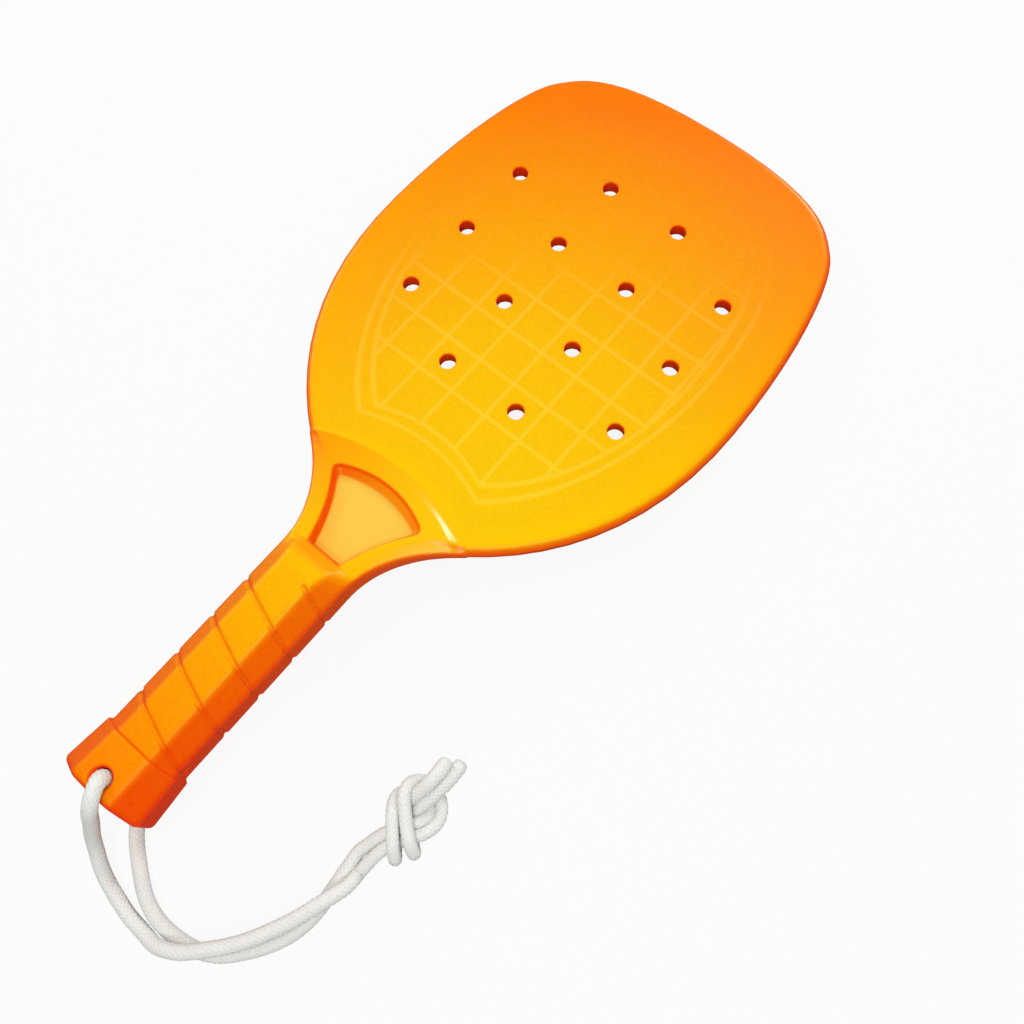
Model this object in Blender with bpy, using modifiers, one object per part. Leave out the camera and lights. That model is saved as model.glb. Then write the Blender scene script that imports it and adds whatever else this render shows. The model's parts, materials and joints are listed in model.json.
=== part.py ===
"""A moulded plastic paddleball paddle and its wrist cord, lying on a flat surface.

The blade, the collar, the throat with its thin web, the octagonal handle with its moulded spiral
grooves and the flared butt are one injection moulding, modelled as one solid. The wrist cord goes
through the bore in the butt, and both of its ends are tied together in an overhand knot.

The moulding is modelled in its own frame: X across, +Y to the tip, Z = 0 in the middle of its
thickness, and Y = 0 on the lowest row of holes. It is then laid down: the lower rim of the tip
touches the surface Z = 0, and the cord that passes under the butt holds the other end up.
"""

import math

import bmesh
import bpy
import numpy as np
from mathutils import Matrix, Vector
from mathutils.geometry import interpolate_bezier

MM = 0.001

# Blade
TIP_Y = 171.5 * MM
TIP_HANDLE = 62.5 * MM
SHOULDER = Vector((78.6, 147.3)) * MM
SHOULDER_SLOPE = math.radians(48.7)
SHOULDER_HANDLES = (12.5 * MM, 10.2 * MM)
BLADE_HALF_WIDTH = 95.3 * MM
WIDEST_Y = 50.6 * MM
WIDEST_HANDLES = (54.5 * MM, 53.0 * MM)
BLADE_THICKNESS = 7.2 * MM
BLADE_ROOT = Vector((24.0, -71.0)) * MM
OUTLINE_STEPS = 11
EDGE_STEPS = 3

# Air holes: two middle columns of four, and two outer columns of three between them in height
HOLE_PITCH = 38.0 * MM
HOLE_DIAMETER = 8.8 * MM
HOLE_EDGE = 0.5 * MM
HOLE_SIDES = 20
INNER_COLUMN_ROWS = 4
OUTER_COLUMN_ROWS = 3

# Neck: the S-curve between the blade and the handle
NECK = Vector((42.6, -61.5)) * MM
NECK_SLOPE = math.radians(36.7)
NECK_HANDLES = (38.9 * MM, 12.9 * MM)
NECK_END_Y = -105.0 * MM
NECK_END_HANDLE = 21.0 * MM

# Collar: the smooth skin that wraps the bottom of the blade, and ends in an arc across it
COLLAR_STEP = 0.4 * MM
COLLAR_ARC_Y = -49.4 * MM
COLLAR_ARC_HANDLE = 24.0 * MM
COLLAR_END = Vector((41.5, -59.3)) * MM
COLLAR_END_SLOPE = math.radians(38.0)
COLLAR_END_HANDLE = 9.0 * MM
COLLAR_TOP_Y = -46.0 * MM

# Handle: an octagon, wider than it is thick
HANDLE_HALF_WIDTH = 16.9 * MM
HANDLE_HALF_THICKNESS = 14.1 * MM
HANDLE_TOP_FLAT = 8.5 * MM
HANDLE_SIDE_FLAT = 6.4 * MM
HANDLE_START_Y = -109.0 * MM
HANDLE_END_Y = -194.0 * MM
CORNER_ROUNDING = 1.6 * MM
CORNER_STEPS = 2

# Throat, from the collar to the handle: place along the paddle, half-width and height of the
# ridge that borders the web's recess, and half-height of the narrow side wall
THROAT_STATIONS = (
    (-59.3 * MM, 41.5 * MM, BLADE_THICKNESS / 2 + COLLAR_STEP, 1.8 * MM),
    (-62.0 * MM, 33.5 * MM, 4.2 * MM, 2.4 * MM),
    (-65.5 * MM, 27.3 * MM, 4.5 * MM, 3.0 * MM),
    (-71.0 * MM, 23.3 * MM, 4.9 * MM, 3.6 * MM),
    (-80.0 * MM, 17.4 * MM, 5.5 * MM, 4.5 * MM),
    (-89.0 * MM, 13.4 * MM, 6.1 * MM, 5.2 * MM),
    (-97.0 * MM, 10.3 * MM, 6.7 * MM, 5.9 * MM),
    (-99.0 * MM, 9.9 * MM, 8.9 * MM, 6.1 * MM),
    (-103.0 * MM, 9.5 * MM, 12.2 * MM, 6.3 * MM),
    (HANDLE_START_Y, HANDLE_TOP_FLAT, HANDLE_HALF_THICKNESS, HANDLE_SIDE_FLAT),
)
SIDE_ROUNDING = 3.7 * MM
THROAT_STEPS = 26

# Recess on both faces of the throat, down to a thin web in the middle. Each outline is an arc
# across the top, a corner, a drawn-in side and a straight foot. The lip round the rim is rounded.
WEB_THICKNESS = 2.0 * MM
RIM_TOP_Y = -58.9 * MM
RIM_CORNER = Vector((24.4, -65.4)) * MM
RIM_SIDE = Vector((14.5, -79.6)) * MM
RIM_FOOT = Vector((8.2, -96.3)) * MM
RIM_LIP = 1.1 * MM
WEB_TOP_Y = -62.9 * MM
WEB_CORNER = Vector((21.2, -67.3)) * MM
WEB_SIDE = Vector((13.4, -80.0)) * MM
WEB_FOOT = Vector((7.7, -95.7)) * MM
RECESS_SMOOTHING = 2

# Spiral grooves: one turn is a run across the upper half and a run back across the lower half
GROOVE_PITCH = 18.8 * MM
GROOVE_WIDTH = 2.0 * MM
GROOVE_DEPTH = 0.7 * MM
GROOVE_UPPER_ADVANCE = 11.5 * MM
GROOVE_FIRST_Y = -104.3 * MM
GROOVE_TURNS = 4
GROOVE_START_X = 5.4 * MM
GROOVE_OVERLAP = 0.8 * MM

# Butt: a step, then a flare with a rounded and slightly domed end
FLARE_STEP = 1.4 * MM
FLARE_STEP_LENGTH = 0.7 * MM
FLARE_GROWTH = 1.4 * MM
BUTT_END_Y = -218.0 * MM
BUTT_ROUNDING = 2.4 * MM
BUTT_DOME = 2.2 * MM

# Bore for the cord, through the butt from face to face
BORE_Y = -209.3 * MM
BORE_DIAMETER = 7.6 * MM
BORE_EDGE = 1.0 * MM
BORE_SIDES = 24

# Cord, and how the paddle lies on it
CORD_DIAMETER = 6.0 * MM
KNOT_CORD_DIAMETER = 4.0 * MM
CORD_GAP = 0.3 * MM
BUTT_LIFT = 9.0 * MM
CORD_STEP = 13.0 * MM
CORD_TURN = math.radians(11)
ROUTE_STEP = 2.0 * MM
KNOT_STEP = 1.5 * MM
KNOT_TAPER_LENGTH = 16.0 * MM
BEND_IN_BORE = 5.0 * MM
RUN_INTO_KNOT = 4.0 * MM

# The upper strand leaves the upper mouth of the bore and arches over the end of the butt.
# These points count from the middle of that mouth.
ARCH = (
    (0.3, 0.2, 0.9),
    (1.9, -1.4, 4.1),
    (3.8, -4.4, 4.9),
    (5.3, -8.0, 3.4),
    (5.5, -11.3, -1.0),
    (5.1, -14.3, -7.0),
    (4.7, -18.2, -14.0),
)

# All other points of the cord count from the place on the surface right under the bore.
UPPER_STRAND = (
    (4.2, -20.6, 20.5),
    (6.2, -26.0, 12.0),
    (12.0, -31.7, 6.3),
    (21.8, -35.4, 3.6),
    (32.2, -37.3, 3.1),
    (39.4, -37.2, 3.7),
    (45.4, -37.0, 5.8),
    (51.0, -34.3, 8.8),
    (56.3, -31.0, 9.4),
    (61.6, -25.6, 9.6),
    (65.9, -21.0, 9.3),
    (70.3, -15.5, 8.9),
    (74.0, -9.8, 8.6),
    (77.3, -3.5, 8.5),
    (80.5, 3.0, 8.7),
    (82.9, 8.9, 9.2),
    (84.8, 14.3, 9.6),
    (86.9, 20.3, 9.0),
    (88.7, 25.8, 7.0),
)
LOWER_STRAND = (
    (0.7, -1.0, 7.5),
    (2.7, -3.6, 4.2),
    (5.5, -7.4, 3.0),
    (10.9, -14.7, 3.0),
    (16.1, -19.0, 3.0),
    (22.3, -23.3, 3.0),
    (29.3, -27.8, 3.0),
    (37.1, -30.5, 3.0),
    (45.6, -31.1, 3.0),
    (53.5, -30.0, 3.0),
    (60.6, -28.1, 3.0),
    (66.8, -24.6, 3.0),
    (73.1, -18.0, 3.0),
    (79.0, -9.9, 3.0),
    (83.4, -0.7, 3.0),
    (85.1, 8.3, 3.0),
    (84.8, 17.1, 3.0),
    (83.9, 25.8, 3.0),
)

# The knot: both strands are tied together. Each goes in under the wraps, round the loop, over as
# a wrap, back underneath, and out through the loop to the end of its tail. The upper strand is
# the outer one of the loop, and crosses over the other one into the wraps.
KNOT_UPPER = (
    (88.7, 34.9, 5.2),
    (89.1, 39.4, 6.0),
    (90.0, 44.0, 6.8),
    (91.9, 48.0, 6.9),
    (94.1, 51.6, 6.9),
    (95.4, 53.6, 6.9),
    (97.1, 55.8, 6.7),
    (99.1, 59.6, 5.5),
    (99.7, 64.0, 3.9),
    (97.9, 68.1, 2.6),
    (94.7, 71.1, 2.3),
    (90.3, 72.5, 2.2),
    (86.2, 72.4, 3.0),
    (83.2, 70.7, 5.4),
    (82.2, 67.5, 9.4),
    (83.8, 64.1, 11.8),
    (86.9, 61.1, 11.7),
    (90.0, 58.1, 11.5),
    (93.2, 55.3, 11.5),
    (96.2, 53.1, 11.8),
    (98.7, 51.2, 10.0),
    (100.5, 50.1, 7.2),
    (99.9, 50.2, 4.2),
    (97.1, 51.8, 2.3),
    (94.0, 54.0, 2.2),
    (91.3, 56.1, 2.2),
    (89.7, 58.3, 2.8),
    (89.7, 60.4, 4.4),
    (90.6, 63.0, 6.2),
    (91.5, 66.4, 8.1),
    (92.3, 71.2, 8.8),
    (93.0, 76.6, 8.5),
    (93.2, 82.2, 8.1),
    (92.8, 88.0, 7.6),
)
KNOT_LOWER = (
    (84.0, 40.2, 4.6),
    (85.0, 43.8, 5.6),
    (86.4, 47.8, 6.6),
    (88.6, 51.7, 6.9),
    (90.9, 55.3, 6.9),
    (93.3, 58.6, 6.7),
    (95.0, 61.8, 5.4),
    (94.9, 65.1, 4.0),
    (92.6, 67.0, 3.0),
    (89.3, 67.4, 2.3),
    (85.9, 66.3, 2.2),
    (82.7, 65.2, 3.2),
    (81.1, 62.8, 5.8),
    (82.0, 59.8, 8.8),
    (84.1, 57.1, 11.0),
    (86.9, 53.9, 11.6),
    (89.8, 50.8, 11.7),
    (92.6, 47.9, 11.9),
    (95.1, 45.5, 10.1),
    (96.3, 43.9, 7.0),
    (95.6, 44.0, 4.2),
    (93.3, 46.0, 2.4),
    (90.8, 49.1, 2.2),
    (88.3, 52.3, 2.2),
    (86.6, 54.7, 2.8),
    (85.5, 57.2, 4.4),
    (85.5, 60.0, 5.7),
    (86.2, 63.3, 6.7),
    (87.1, 67.2, 9.0),
    (88.3, 71.8, 12.0),
    (88.9, 76.1, 13.2),
    (88.9, 80.6, 12.8),
    (88.3, 85.1, 11.6),
)
KNOT_SMOOTHING = 3


def material(name, colour, roughness):
    """A Principled material with no metal in it."""
    made = bpy.data.materials.new(name)
    made.use_nodes = True
    shader = made.node_tree.nodes["Principled BSDF"]
    shader.inputs["Base Color"].default_value = (*colour, 1.0)
    shader.inputs["Roughness"].default_value = roughness
    shader.inputs["Metallic"].default_value = 0.0
    made.diffuse_color = (*colour, 1.0)
    return made


def add_mesh(name, mesh, collection):
    """A new object of this mesh, smooth apart from its real edges."""
    obj = bpy.data.objects.new(name, mesh)
    collection.objects.link(obj)
    mesh.shade_smooth()
    mesh.set_sharp_from_angle(angle=math.radians(35))
    return obj


def as_cutter(obj):
    obj.hide_render = True
    obj.display_type = "WIRE"
    return obj


def mesh_of_curve(curve_object):
    """Makes a mesh of a curve object, with its caps welded on, and removes the curve."""
    bpy.context.view_layer.update()
    graph = bpy.context.evaluated_depsgraph_get()
    mesh = bpy.data.meshes.new_from_object(curve_object.evaluated_get(graph))
    welded = bmesh.new()
    welded.from_mesh(mesh)
    bmesh.ops.remove_doubles(welded, verts=welded.verts, dist=1e-6)
    bmesh.ops.recalc_face_normals(welded, faces=welded.faces)
    welded.to_mesh(mesh)
    welded.free()
    bpy.data.objects.remove(curve_object)
    return mesh


def boolean(target, operand, operation):
    modifier = target.modifiers.new(operand.name, "BOOLEAN")
    modifier.operation = operation
    modifier.solver = "EXACT"
    modifier.object = operand
    return modifier


def heading(angle):
    """Unit vector that runs outwards and down the right-hand side of the outline at this slope."""
    return Vector((math.cos(angle), -math.sin(angle)))


def outline_nodes():
    """Right-hand half of the outline, tip to handle: (point, handle before it, handle after it)."""
    tip = Vector((0.0, TIP_Y))
    widest = Vector((BLADE_HALF_WIDTH, WIDEST_Y))
    neck_end = Vector((HANDLE_HALF_WIDTH, NECK_END_Y))
    shoulder_way = heading(SHOULDER_SLOPE)
    neck_way = heading(math.pi - NECK_SLOPE)
    across = Vector((TIP_HANDLE, 0.0))
    return (
        (tip, tip - across, tip + across),
        (
            SHOULDER,
            SHOULDER - shoulder_way * SHOULDER_HANDLES[0],
            SHOULDER + shoulder_way * SHOULDER_HANDLES[1],
        ),
        (
            widest,
            widest + Vector((0.0, WIDEST_HANDLES[0])),
            widest - Vector((0.0, WIDEST_HANDLES[1])),
        ),
        (NECK, NECK - neck_way * NECK_HANDLES[0], NECK + neck_way * NECK_HANDLES[1]),
        (neck_end, neck_end + Vector((0.0, NECK_END_HANDLE)), neck_end),
    )


def neck_half_width(y):
    """Half-width of the outline at a place between the widest point and the handle."""
    nodes = outline_nodes()
    points = []
    for first, second in zip(nodes[2:], nodes[3:]):
        points += interpolate_bezier(first[0], first[2], second[1], second[0], 60)
    rising = sorted((point.y, point.x) for point in points)
    return float(np.interp(y, *zip(*rising)))


def flat_curve(name, nodes, collection):
    """A closed and filled 2D curve from (point, handle before it, handle after it)."""
    data = bpy.data.curves.new(name, "CURVE")
    data.dimensions = "2D"
    data.fill_mode = "BOTH"
    data.resolution_u = OUTLINE_STEPS
    spline = data.splines.new("BEZIER")
    spline.bezier_points.add(len(nodes) - 1)
    for target, (point, before, after) in zip(spline.bezier_points, nodes):
        target.handle_left_type = "FREE"
        target.handle_right_type = "FREE"
        target.co = point.to_3d()
        target.handle_left = before.to_3d()
        target.handle_right = after.to_3d()
    spline.use_cyclic_u = True
    obj = bpy.data.objects.new(name, data)
    collection.objects.link(obj)
    return obj


def mirrored(nodes):
    """The same nodes on the other side, in the order that carries on round the outline."""
    flip = Vector((-1.0, 1.0))
    return [tuple(v * flip for v in (point, after, before)) for point, before, after in nodes[::-1]]


def blade(collection):
    """The plate of the blade, with its full round edge. Its root ends inside the throat."""
    right = outline_nodes()[:4]
    corner = (BLADE_ROOT, BLADE_ROOT, BLADE_ROOT)
    neck = (right[3][0], right[3][1], right[3][0])
    half = [*right[1:3], neck, corner]
    outline = flat_curve("blade_outline", [right[0], *half, *mirrored(half)], collection)
    outline.data.bevel_depth = BLADE_THICKNESS / 2
    outline.data.offset = -BLADE_THICKNESS / 2
    outline.data.bevel_resolution = EDGE_STEPS
    return mesh_of_curve(outline)


def throat_at(y):
    """(ridge half-width, ridge height, side wall half-height) of the throat at this place."""
    rows = THROAT_STATIONS[::-1]
    places = [row[0] for row in rows]
    return [float(np.interp(y, places, [row[i] for row in rows])) for i in (1, 2, 3)]


def rounded_section(half_width, side_flat, top_flat, half_height, y, rounding):
    """Eight-cornered section with each corner rounded, in order round the section."""
    quarter = [(half_width, side_flat), (top_flat, half_height)]
    half = quarter + [(-x, z) for x, z in quarter[::-1]]
    corners = [Vector((x, y, z)) for x, z in half + [(-x, -z) for x, z in half]]
    ring = []
    for before, corner, after in zip(corners[-1:] + corners, corners, corners[1:] + corners[:1]):
        reach = [min(rounding, (other - corner).length * 0.45) for other in (before, after)]
        start = corner + (before - corner).normalized() * reach[0]
        end = corner + (after - corner).normalized() * reach[1]
        for step in range(CORNER_STEPS + 1):
            t = step / CORNER_STEPS
            ring.append(start * (1 - t) ** 2 + corner * 2 * t * (1 - t) + end * t**2)
    return ring


def handle_section(y, growth=0.0, scale=1.0):
    """Section of the handle with every face moved out by growth."""
    chamfer = math.atan2(
        HANDLE_HALF_THICKNESS - HANDLE_SIDE_FLAT, HANDLE_HALF_WIDTH - HANDLE_TOP_FLAT
    )
    top_flat = HANDLE_TOP_FLAT + growth * math.tan(chamfer / 2)
    side_flat = HANDLE_SIDE_FLAT + growth * math.tan((math.pi / 2 - chamfer) / 2)
    return rounded_section(
        (HANDLE_HALF_WIDTH + growth) * scale,
        side_flat * scale,
        top_flat * scale,
        (HANDLE_HALF_THICKNESS + growth) * scale,
        y,
        CORNER_ROUNDING * scale,
    )


def throat_sections():
    """Sections from the collar's top down to the start of the handle."""
    sections = []
    for y in np.linspace(COLLAR_TOP_Y, HANDLE_START_Y, THROAT_STEPS):
        ridge, height, side_flat = throat_at(y)
        half_width = neck_half_width(max(y, NECK_END_Y))
        in_collar = min(max((y - THROAT_STATIONS[3][0]) / (COLLAR_END.y - THROAT_STATIONS[3][0]), 0), 1)
        half_width += COLLAR_STEP * in_collar
        if y > COLLAR_END.y:
            ridge = half_width - SIDE_ROUNDING
        rounding = CORNER_ROUNDING + (SIDE_ROUNDING / 2 - CORNER_ROUNDING) * in_collar
        sections.append(rounded_section(half_width, side_flat, ridge, height, y, rounding))
    return sections


def butt_sections():
    """Sections of the flared butt, from its step to its domed end."""
    step_end = HANDLE_END_Y - FLARE_STEP_LENGTH
    face = BUTT_END_Y + BUTT_DOME
    growth = FLARE_STEP + FLARE_GROWTH
    sections = [
        handle_section(HANDLE_END_Y),
        handle_section(step_end, FLARE_STEP),
        handle_section(face + BUTT_ROUNDING, growth),
    ]
    for turn in (30, 60, 85):
        angle = math.radians(turn)
        inset = BUTT_ROUNDING * (1 - math.cos(angle))
        place = face + BUTT_ROUNDING * (1 - math.sin(angle))
        sections.append(handle_section(place, growth - inset))
    for scale in (0.8, 0.5, 0.2):
        place = face - BUTT_DOME * (1 - scale**2)
        sections.append(handle_section(place, growth - BUTT_ROUNDING, scale))
    return sections


def lofted(name, sections):
    """A closed mesh through sections that all have the same number of points."""
    loft = bmesh.new()
    rings = [[loft.verts.new(point) for point in section] for section in sections]
    for first, second in zip(rings, rings[1:]):
        for i in range(len(first)):
            j = (i + 1) % len(first)
            loft.faces.new((first[i], first[j], second[j], second[i]))
    loft.faces.new(rings[0])
    loft.faces.new(rings[-1])
    bmesh.ops.recalc_face_normals(loft, faces=loft.faces)
    mesh = bpy.data.meshes.new(name)
    loft.to_mesh(mesh)
    loft.free()
    return mesh


def collar_trim(collection):
    """Cutter for the part of the throat's loft that lies past the collar's arc."""
    middle = Vector((0.0, COLLAR_ARC_Y))
    across = Vector((COLLAR_ARC_HANDLE, 0.0))
    way = heading(COLLAR_END_SLOPE)
    beyond = COLLAR_END + way * BLADE_HALF_WIDTH
    far = Vector((beyond.x, TIP_Y))
    half = [
        (COLLAR_END, COLLAR_END - way * COLLAR_END_HANDLE, COLLAR_END),
        (beyond, beyond, beyond),
        (far, far, far),
    ]
    nodes = [(middle, middle - across, middle + across), *half, *mirrored(half)]
    outline = flat_curve("collar_trim", nodes, collection)
    outline.data.extrude = HANDLE_HALF_THICKNESS
    return as_cutter(add_mesh("collar_trim", mesh_of_curve(outline), collection))


def fan(top_y, corner, side, foot):
    """Closed fan outline: arc on top, drawn-in sides through the point side, sharp flat foot."""
    bend = side * 2 - (corner + foot) / 2
    half = [Vector((corner.x * t, top_y + (corner.y - top_y) * t * t)) for t in np.linspace(0, 1, 12)]
    for t in np.linspace(0, 1, 14)[1:]:
        half.append(corner * (1 - t) ** 2 + bend * 2 * t * (1 - t) + foot * t**2)
    half += [Vector((foot.x * (1 - t), foot.y)) for t in (0.25, 0.6)]
    points = np.array([*half, Vector((0.0, foot.y)), *(Vector((-p.x, p.y)) for p in half[:0:-1])])
    at_foot = points[:, 1:] <= foot.y
    for _ in range(RECESS_SMOOTHING):
        eased = points / 2 + (np.roll(points, 1, axis=0) + np.roll(points, -1, axis=0)) / 4
        points = np.where(at_foot, points, eased)
    return points


def recess(face, collection):
    """Cutter for the recess on one face: 1 for the upper one and -1 for the lower one."""
    lip = Vector((RIM_LIP, 0.0))
    lift = Vector((0.0, RIM_LIP))
    rim = fan(RIM_TOP_Y, RIM_CORNER, RIM_SIDE, RIM_FOOT)
    outer = fan(RIM_TOP_Y + RIM_LIP, RIM_CORNER + lip, RIM_SIDE + lip, RIM_FOOT + lip - lift * 0.6)
    web = fan(WEB_TOP_Y, WEB_CORNER, WEB_SIDE, WEB_FOOT)

    def height(y):
        return throat_at(max(y, RIM_FOOT.y))[1]

    levels = (
        (outer, lambda y: HANDLE_HALF_THICKNESS * 2),
        (outer, lambda y: height(y) + RIM_LIP * 0.25),
        (rim * 0.6 + outer * 0.4, lambda y: height(y) - RIM_LIP * 0.35),
        (rim, lambda y: height(y) - RIM_LIP),
        (rim * 0.2 + web * 0.8, lambda y: WEB_THICKNESS / 2 + (height(y) - WEB_THICKNESS / 2) * 0.12),
        (web, lambda y: WEB_THICKNESS / 2),
    )
    sections = [[Vector((x, y, face * level(y))) for x, y in outline] for outline, level in levels]
    name = "recess_upper" if face > 0 else "recess_lower"
    return as_cutter(add_mesh(name, lofted(name, sections), collection))


def round_hole(name, diameter, edge, half_depth, sides, collection):
    """Cutter for a round hole along Z with a chamfer at both mouths, as a turned profile."""
    radius = diameter / 2
    over = edge * 2
    profile = [
        (0.0, half_depth + over),
        (radius + edge + over, half_depth + over),
        (radius, half_depth - edge),
        (radius, edge - half_depth),
        (radius + edge + over, -half_depth - over),
        (0.0, -half_depth - over),
    ]
    mesh = bpy.data.meshes.new(name)
    edges = [(i, i + 1) for i in range(len(profile) - 1)]
    mesh.from_pydata([(x, 0.0, z) for x, z in profile], edges, [])
    obj = bpy.data.objects.new(name, mesh)
    collection.objects.link(obj)
    screw = obj.modifiers.new("turn", "SCREW")
    screw.steps = sides
    screw.render_steps = sides
    screw.use_merge_vertices = True
    screw.merge_threshold = 1e-6
    return as_cutter(obj)


def hole_places():
    """Centres of the air holes."""
    places = []
    for side in (-1, 1):
        for row in range(INNER_COLUMN_ROWS):
            places.append((side * HOLE_PITCH / 2, row * HOLE_PITCH))
        for row in range(OUTER_COLUMN_ROWS):
            places.append((side * HOLE_PITCH * 1.5, (row + 0.5) * HOLE_PITCH))
    return places


def groove_slab(name, start, end, upper, collection):
    """A plain slab over the straight line from start to end, on one side of the mid-plane."""
    along = end - start
    bm = bmesh.new()
    bmesh.ops.create_cube(bm, size=1.0)
    height = HANDLE_HALF_THICKNESS * 1.2
    size = Vector((along.length, GROOVE_WIDTH, height))
    level = height / 2 - GROOVE_OVERLAP
    centre = Vector((*((start + end) / 2), level if upper else -level))
    turn = Matrix.Rotation(math.atan2(along.y, along.x), 4, "Z")
    placing = Matrix.Translation(centre) @ turn @ Matrix.Diagonal((*size, 1.0))
    bmesh.ops.transform(bm, matrix=placing, verts=bm.verts)
    mesh = bpy.data.meshes.new(name)
    bm.to_mesh(mesh)
    bm.free()
    return as_cutter(add_mesh(name, mesh, collection))


def groove_cutters(collection):
    """Slabs along the spiral, each hollowed by the core that the grooves leave."""
    core_sections = [
        handle_section(HANDLE_START_Y + GROOVE_PITCH, -GROOVE_DEPTH),
        handle_section(HANDLE_END_Y - GROOVE_PITCH, -GROOVE_DEPTH),
    ]
    core = as_cutter(add_mesh("groove_core", lofted("groove_core", core_sections), collection))
    side = HANDLE_HALF_WIDTH
    over = 1.15
    lower_advance = GROOVE_PITCH - GROOVE_UPPER_ADVANCE
    slabs = []
    for turn in range(GROOVE_TURNS + 1):
        left = Vector((-side, GROOVE_FIRST_Y - turn * GROOVE_PITCH))
        right = left + Vector((2 * side, -GROOVE_UPPER_ADVANCE))
        middle = (left + right) / 2
        start = middle + (left - middle) * over
        if turn == 0:
            start = middle + (right - middle) * (GROOVE_START_X / side)
        end = middle + (right - middle) * over
        slabs.append(groove_slab(f"groove_upper_{turn}", start, end, True, collection))
        if turn == GROOVE_TURNS:
            break
        back = right + Vector((-2 * side, -lower_advance))
        middle = (back + right) / 2
        ends = [middle + (place - middle) * over for place in (right, back)]
        slabs.append(groove_slab(f"groove_lower_{turn}", *ends, False, collection))
    for slab in slabs:
        boolean(slab, core, "DIFFERENCE")
    return slabs


def paddle(parts, cutters):
    """The whole moulding, in its own frame."""
    obj = add_mesh("paddle", blade(cutters), parts)
    sections = throat_sections() + butt_sections()
    throat = as_cutter(add_mesh("throat_and_handle", lofted("throat_and_handle", sections), cutters))
    boolean(throat, collar_trim(cutters), "DIFFERENCE")
    boolean(obj, throat, "UNION")
    for face in (1, -1):
        boolean(obj, recess(face, cutters), "DIFFERENCE")
    for index, (x, y) in enumerate(hole_places()):
        hole = round_hole(
            f"air_hole_{index}", HOLE_DIAMETER, HOLE_EDGE, BLADE_THICKNESS / 2, HOLE_SIDES, cutters
        )
        hole.location = (x, y, 0.0)
        boolean(obj, hole, "DIFFERENCE")
    for slab in groove_cutters(cutters):
        boolean(obj, slab, "DIFFERENCE")
    butt_half = HANDLE_HALF_THICKNESS + FLARE_STEP + FLARE_GROWTH * 0.6
    bore = round_hole("cord_bore", BORE_DIAMETER, BORE_EDGE, butt_half, BORE_SIDES, cutters)
    bore.location = (0.0, BORE_Y, 0.0)
    boolean(obj, bore, "DIFFERENCE")
    even = obj.modifiers.new("large_faces_stay_flat", "WEIGHTED_NORMAL")
    even.keep_sharp = True
    return obj


def butt_half_thickness():
    """Half-thickness of the butt at the bore."""
    start = HANDLE_END_Y - FLARE_STEP_LENGTH
    end = BUTT_END_Y + BUTT_DOME + BUTT_ROUNDING
    along = (BORE_Y - start) / (end - start)
    return HANDLE_HALF_THICKNESS + FLARE_STEP + FLARE_GROWTH * along


def rest_placement():
    """Matrix from the paddle's own frame to the world, where it lies on its tip and its cord."""
    edge = BLADE_THICKNESS / 2
    tip = TIP_Y - edge
    thick = HANDLE_HALF_THICKNESS + FLARE_STEP + FLARE_GROWTH
    length = tip - (BUTT_END_Y + BUTT_DOME + BUTT_ROUNDING)
    reach = math.hypot(length, thick)
    tilt = math.asin((BUTT_LIFT - edge) / reach) + math.atan2(thick, length)
    turn = Matrix.Rotation(-tilt, 4, "X")
    tip_centre = turn @ Vector((0.0, tip, 0.0))
    butt_corner = turn @ Vector((0.0, BUTT_END_Y + BUTT_DOME, -thick))
    middle = (tip_centre.y + edge + butt_corner.y) / 2
    return Matrix.Translation((0.0, -middle, edge - tip_centre.z)) @ turn


def smooth_through(points, step):
    """Evenly spaced points on a smooth curve through these points."""
    points = np.array(points, float)
    sides = np.diff(points, axis=0)
    lengths = np.linalg.norm(sides, axis=1)
    ways = sides / lengths[:, None]
    slopes = np.empty_like(points)
    before, after = lengths[:-1, None], lengths[1:, None]
    slopes[1:-1] = (ways[:-1] * after + ways[1:] * before) / (before + after)
    slopes[0] = ways[0]
    slopes[-1] = ways[-1]
    starts = np.concatenate(([0.0], np.cumsum(lengths)))
    places = np.linspace(0.0, starts[-1], round(starts[-1] / step) + 1)
    piece = np.clip(np.searchsorted(starts, places, side="right") - 1, 0, len(lengths) - 1)
    reach = lengths[piece][:, None]
    u = (places - starts[piece])[:, None] / reach
    return (
        (1 + 2 * u) * (1 - u) ** 2 * points[piece]
        + u * (1 - u) ** 2 * reach * slopes[piece]
        + u**2 * (3 - 2 * u) * points[piece + 1]
        + u**2 * (u - 1) * reach * slopes[piece + 1]
    )


def knot_strand(points, foot):
    """Smooth route of one strand through the knot."""
    strand = smooth_through([foot + Vector(point) * MM for point in points], KNOT_STEP)
    for _ in range(KNOT_SMOOTHING):
        strand[1:-1] = strand[1:-1] / 2 + (strand[:-2] + strand[2:]) / 4
    return strand


def bend_steps(points):
    """The points that a bend needs, and fewer along the calm stretches."""
    kept = [points[0], points[1]]
    turned = 0.0
    for before, point, after in zip(points[1:], points[2:-2], points[3:]):
        first = Vector(point - before)
        second = Vector(after - point)
        turned += first.angle(second)
        gone = np.linalg.norm(point - kept[-1])
        if turned > CORD_TURN or gone >= CORD_STEP:
            kept.append(point)
            turned = 0.0
    return [*kept, points[-2], points[-1]]


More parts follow.
